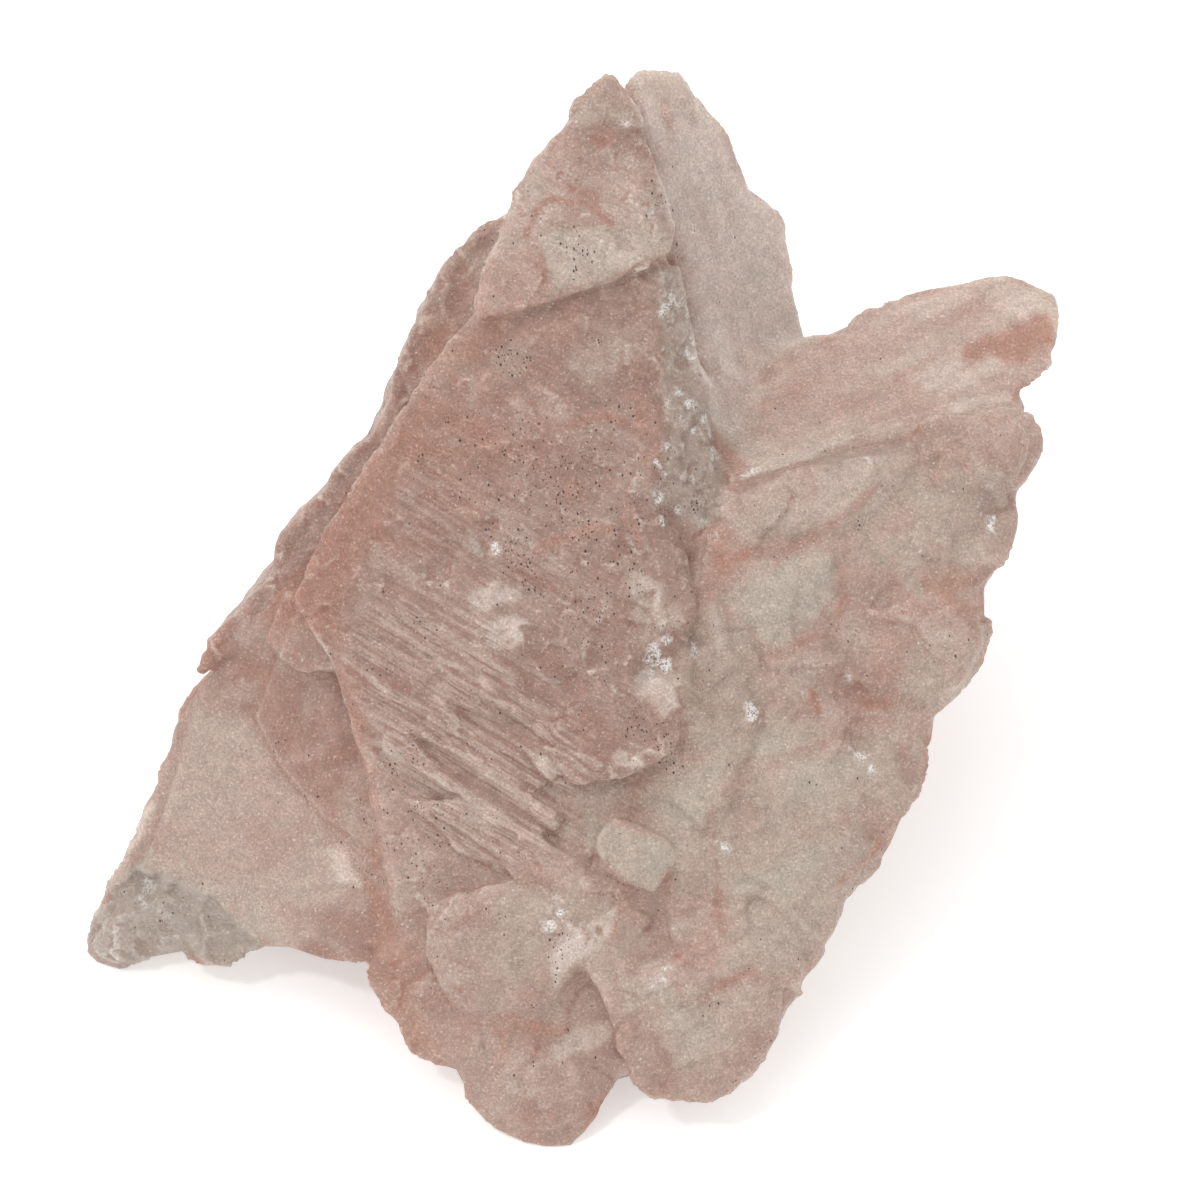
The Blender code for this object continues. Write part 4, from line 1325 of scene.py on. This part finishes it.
@dataclass
class CrystalGroup:
    """The whole group: its fine mesh, its relief, and its painted clouds with painted highlights and shade.
    """

    node: Piece
    voxel: float = 0.18
    light_smoothing: int = 4
    heavy_smoothing: int = 50
    melt_smoothing: int = 30
    unfolding: int = 14
    pressing: int = 10
    steepest_deg: float = 80.0

    def build(self, effects: Effects) -> Piece:
        """Makes the piece that is shown for the group's solid.

        Args:
            effects: The node groups for its materials.

        Returns:
            The new piece.
        """
        piece = self.fine_copy()
        mesh = piece.data
        points = FaceView.from_world(self.read(mesh.vertices, "co", 3))
        links = Links(self.read(mesh.edges, "vertices", 2, np.int32), len(points))
        points = self.soften(points, links, self.normals(mesh))
        self.write(mesh, points)
        move, shades = Relief().move(points, self.normals(mesh))
        points = self.unfolded(links.rounded(points + move), links)
        self.write(mesh, points)
        Painting().lay(mesh, points, shades, self.bend(points, links, self.normals(mesh)))
        self.thin_out(piece, points)
        self.press_folds(piece.data)
        self.clothe(piece, effects)
        return piece

    @staticmethod
    def read(items: bpy.types.bpy_prop_collection, name: str, width: int, kind: type = np.float64) -> NDArray:
        """A property of every item of a mesh, as rows of numbers.

        Args:
            items: The mesh's vertices or edges.
            name: The property.
            width: How many numbers each item has.
            kind: The kind of number.

        Returns:
            One row for each item.
        """
        flat = np.zeros(len(items) * width, kind)
        items.foreach_get(name, flat)
        return flat.reshape(-1, width)

    @staticmethod
    def write(mesh: Mesh, points: Floats) -> None:
        """Moves a mesh's vertices, and keeps them above the table.

        Args:
            mesh: The mesh to change.
            points: The new places of its vertices, in the face's view.
        """
        world = FaceView.to_world(points)
        world[:, 2] = np.maximum(world[:, 2], 0.0)
        mesh.vertices.foreach_set("co", world.astype(np.float32).ravel())
        mesh.update()

    @classmethod
    def normals(cls, mesh: Mesh) -> Floats:
        """The mesh's vertex normals, in the face's view."""
        return cls.read(mesh.vertices, "normal", 3) @ FaceView.turn()

    def fine_copy(self) -> Piece:
        """Copies the solid's shape and remeshes it with its webs.

        Returns:
            The new object, with an even, fine mesh.
        """
        piece = bpy.data.objects.new("crystal_group_finish", self.node.data.copy())
        bpy.context.scene.collection.objects.link(piece)
        piece.data.materials.clear()
        piece.data.transform(Matrix.Scale(1 / MM, 4))
        self.add_webs(piece.data)
        remesh = piece.modifiers.new("even_mesh", "REMESH")
        remesh.mode = "VOXEL"
        remesh.voxel_size = self.voxel
        self.apply(piece)
        piece.data.transform(Matrix.Scale(MM, 4))
        piece.data.update()
        return piece

    @staticmethod
    def add_webs(mesh: Mesh) -> None:
        """Adds the webs of stone between the blades.

        Args:
            mesh: The mesh to change, in millimetres.
        """
        joined = bmesh.new()
        joined.from_mesh(mesh)
        for web in WEBS:
            corners = FaceView.to_world(web.corners()) / MM
            made = [joined.verts.new(corner) for corner in corners]
            faces = [joined.faces.new([made[i] for i in face]) for face in web.faces()]
            bmesh.ops.recalc_face_normals(joined, faces=faces)
        joined.to_mesh(mesh)
        joined.free()
        mesh.update()

    @staticmethod
    def apply(piece: Piece) -> None:
        """Makes the piece's modifiers part of its mesh.

        Args:
            piece: The piece with its modifiers.
        """
        graph = bpy.context.evaluated_depsgraph_get()
        old = piece.data
        piece.data = bpy.data.meshes.new_from_object(piece.evaluated_get(graph))
        piece.modifiers.clear()
        bpy.data.meshes.remove(old)

    def soften(self, points: Floats, links: Links, normals: Floats) -> Floats:
        """Rounds the solid's edges a little, and melts its small steps into the smooth faces.

        Args:
            points: The vertices.
            links: Which of them are joined.
            normals: The vertices' normals.

        Returns:
            The moved vertices.
        """
        across = points[:, :2]
        melt = np.zeros(len(points))
        for name, share, start, end in MELTS:
            melt = np.maximum(melt, share * ramp(REGIONS[name].inside(across), start, end))
        for width, places in WELDS:
            far = Stain(width, 1.0, places).distance(across) / (width / DOTS_PER_MM)
            melt = np.maximum(melt, ramp(far, 1.8, 0.6))
        melt *= ramp(normals[:, 2], -0.1, 0.3) * ramp(FaceView.to_world(points)[:, 2] / MM, 0.6, 3.5)
        for _ in range(self.melt_smoothing):
            near = links.total(melt[:, None]) / links.count
            melt = 0.4 * melt + 0.6 * near[:, 0]
        moved = points
        light = points
        for step in range(self.heavy_smoothing):
            moved = 0.4 * moved + 0.6 * links.total(moved) / links.count
            if step + 1 == self.light_smoothing:
                light = moved
        return light + (moved - light) * melt[:, None]

    def unfolded(self, points: Floats, links: Links) -> Floats:
        """Draws sharp folds and spikes in, and leaves the rest where it is.

        Args:
            points: The vertices.
            links: Which of them are joined.

        Returns:
            The moved vertices.
        """
        for _ in range(self.unfolding):
            drawn = points - links.rounded(points)
            sharp = ramp(np.linalg.norm(drawn, axis=1), 0.02, 0.045)
            points = points - drawn * sharp[:, None]
        return points

    @staticmethod
    def bend(points: Floats, links: Links, normals: Floats) -> Floats:
        """How far each vertex stands out from its neighbours, in millimetres, negative in a crease."""
        return ((points - links.rounded(points)) * normals).sum(axis=1)

    def thin_out(self, piece: Piece, points: Floats) -> None:
        """Leaves fewer faces behind and below, where the relief is plain.

        Args:
            piece: The piece with its fine mesh.
            points: Its vertices in the face's view; not used.
        """
        mesh = piece.data
        faces = sum(len(face.vertices) - 2 for face in mesh.polygons)
        hidden = ramp(self.normals(mesh)[:, 2], 0.25, -0.1)
        group = piece.vertex_groups.new(name="behind")
        for share in (0.0, 0.5, 1.0):
            chosen = np.flatnonzero(np.round(hidden * 2) / 2 == share)
            group.add(chosen.tolist(), max(share, 0.04), "REPLACE")
        thin = piece.modifiers.new("fewer_faces", "DECIMATE")
        thin.ratio = min(1.0, MOST_TRIANGLES / faces)
        thin.vertex_group = group.name
        thin.vertex_group_factor = 1.0
        self.apply(piece)
        left = sum(len(face.vertices) - 2 for face in piece.data.polygons)
        LOG.info("%s: %d triangles thinned out to %d", piece.name, faces, left)

    def press_folds(self, mesh: Mesh) -> None:
        """Smooths the mesh above its foot where two faces fold back on each other.

        Args:
            mesh: The mesh to change.
        """
        pressed = bmesh.new()
        pressed.from_mesh(mesh)
        steepest = math.radians(self.steepest_deg)
        for _ in range(self.pressing):
            folds = [edge for edge in pressed.edges if edge.calc_face_angle(0.0) > steepest]
            corners = {corner for edge in folds for corner in edge.verts}
            near = {edge.other_vert(corner) for corner in corners for edge in corner.link_edges}
            raised = [corner for corner in corners | near if corner.co.z > FOOT_CLEAR * MM]
            raised.sort(key=lambda corner: corner.index)
            bmesh.ops.smooth_vert(pressed, verts=raised, factor=0.6, use_axis_x=True, use_axis_y=True,
                                  use_axis_z=True)
        pressed.to_mesh(mesh)
        pressed.free()
        mesh.update()

    def clothe(self, piece: Piece, effects: Effects) -> None:
        """Gives each face its material, and shades the mesh smoothly.

        Args:
            piece: The piece to dress.
            effects: The node groups for the materials.
        """
        mesh = piece.data
        mesh.materials.clear()
        for finish in (PINK, CLEAR_TIP):
            mesh.materials.append(finish.dress(effects))
        middles = FaceView.from_world(self.read(mesh.polygons, "center", 3))
        ways = self.read(mesh.polygons, "normal", 3) @ FaceView.turn()
        clear = (REGIONS["wing_tip"].inside(middles[:, :2]) > 0) & (ways[:, 2] > -0.5)
        mesh.polygons.foreach_set("material_index", clear.astype(np.int32))
        mesh.shade_smooth()
        mesh.update()


@dataclass
class Studio:
    """The white table, the soft lights and the camera."""

    distance: float = 1.6
    floor_side: float = 6.0
    sky: float = 0.76
    table: Colour = (0.93, 0.93, 0.93, 1.0)
    table_glow: float = 0.38
    # Each lamp's name, place and side in metres, and power in watts.
    lamps: tuple[tuple[str, tuple[float, float, float], float, float], ...] = (
        ("top_lamp", (-0.15, 0.4, 0.9), 0.8, 3.4),
        ("glint_lamp", (-0.45, -0.2, 0.9), 0.1, 1.7),
    )

    def build(self) -> None:
        """Sets up the table, the lights and the camera."""
        self.lay_table()
        self.light_sky()
        for lamp in self.lamps:
            self.hang_lamp(*lamp)
        self.aim_camera()

    def lay_table(self) -> None:
        """Makes the white table top."""
        bpy.ops.mesh.primitive_plane_add(size=self.floor_side)
        table = bpy.context.object
        table.name = "table_top"
        white = bpy.data.materials.new("white_table")
        white.use_nodes = True
        shader = white.node_tree.nodes["Principled BSDF"]
        shader.inputs["Base Color"].default_value = self.table
        shader.inputs["Roughness"].default_value = 0.9
        shader.inputs["Specular IOR Level"].default_value = 0.2
        shader.inputs["Emission Color"].default_value = (1.0, 1.0, 1.0, 1.0)
        shader.inputs["Emission Strength"].default_value = self.table_glow
        table.data.materials.append(white)

    def light_sky(self) -> None:
        """Fills the room with even white light."""
        world = bpy.data.worlds.new("white_room")
        world.use_nodes = True
        world.node_tree.nodes["Background"].inputs["Color"].default_value = (1.0, 1.0, 1.0, 1.0)
        world.node_tree.nodes["Background"].inputs["Strength"].default_value = self.sky
        bpy.context.scene.world = world

    @staticmethod
    def hang_lamp(name: str, place: tuple[float, float, float], side: float, power: float) -> None:
        """Hangs a square lamp that faces the stone.

        Args:
            name: The lamp's name.
            place: Where it hangs, in metres.
            side: The length of its sides, in metres.
            power: Its power in watts.
        """
        light = bpy.data.lights.new(name, "AREA")
        light.size = side
        light.energy = power
        lamp = bpy.data.objects.new(name, light)
        lamp.location = place
        lamp.rotation_euler = (Vector((0.0, 0.0, 0.01)) - Vector(place)).to_track_quat("-Z", "Y").to_euler()
        bpy.context.scene.collection.objects.link(lamp)

    def aim_camera(self) -> None:
        """Puts the camera straight out from the main face, with a long lens."""
        camera = bpy.data.cameras.new("camera")
        camera.sensor_width = 36.0
        camera.sensor_fit = "HORIZONTAL"
        camera.lens = camera.sensor_width * self.distance / (DOTS / DOTS_PER_MM * MM)
        camera.clip_end = 20.0
        holder = bpy.data.objects.new("camera", camera)
        centre = FaceView.to_world(np.array([[0.0, 0.0, -4.0]]))[0]
        out = FaceView.turn() @ np.array([0.0, 0.0, 1.0])
        holder.location = Vector(centre) + Vector(out) * self.distance
        holder.rotation_euler = (math.radians(FACE_RISE_DEG), 0.0, 0.0)
        bpy.context.scene.collection.objects.link(holder)
        bpy.context.scene.camera = holder


def report(piece: Piece) -> None:
    """Logs a piece and its size."""
    size = [round(value / MM, 1) for value in piece.dimensions]
    LOG.info("%s: %d faces, %s mm", piece.name, len(piece.data.polygons), size)


def main() -> None:
    """Builds the crystal group and its studio."""
    logging.basicConfig(level=logging.INFO, format="%(message)s")
    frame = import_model()
    scene = bpy.context.scene
    scene.view_settings.view_transform = "Standard"
    scene.cycles.use_denoising = True
    scene.cycles.diffuse_bounces = 3
    piece = CrystalGroup(frame["nodes"]["crystal_group"]).build(Effects())
    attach(piece, "root")
    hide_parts("crystal_group")
    report(piece)
    Studio().build()


if __name__ == "__main__":
    main()
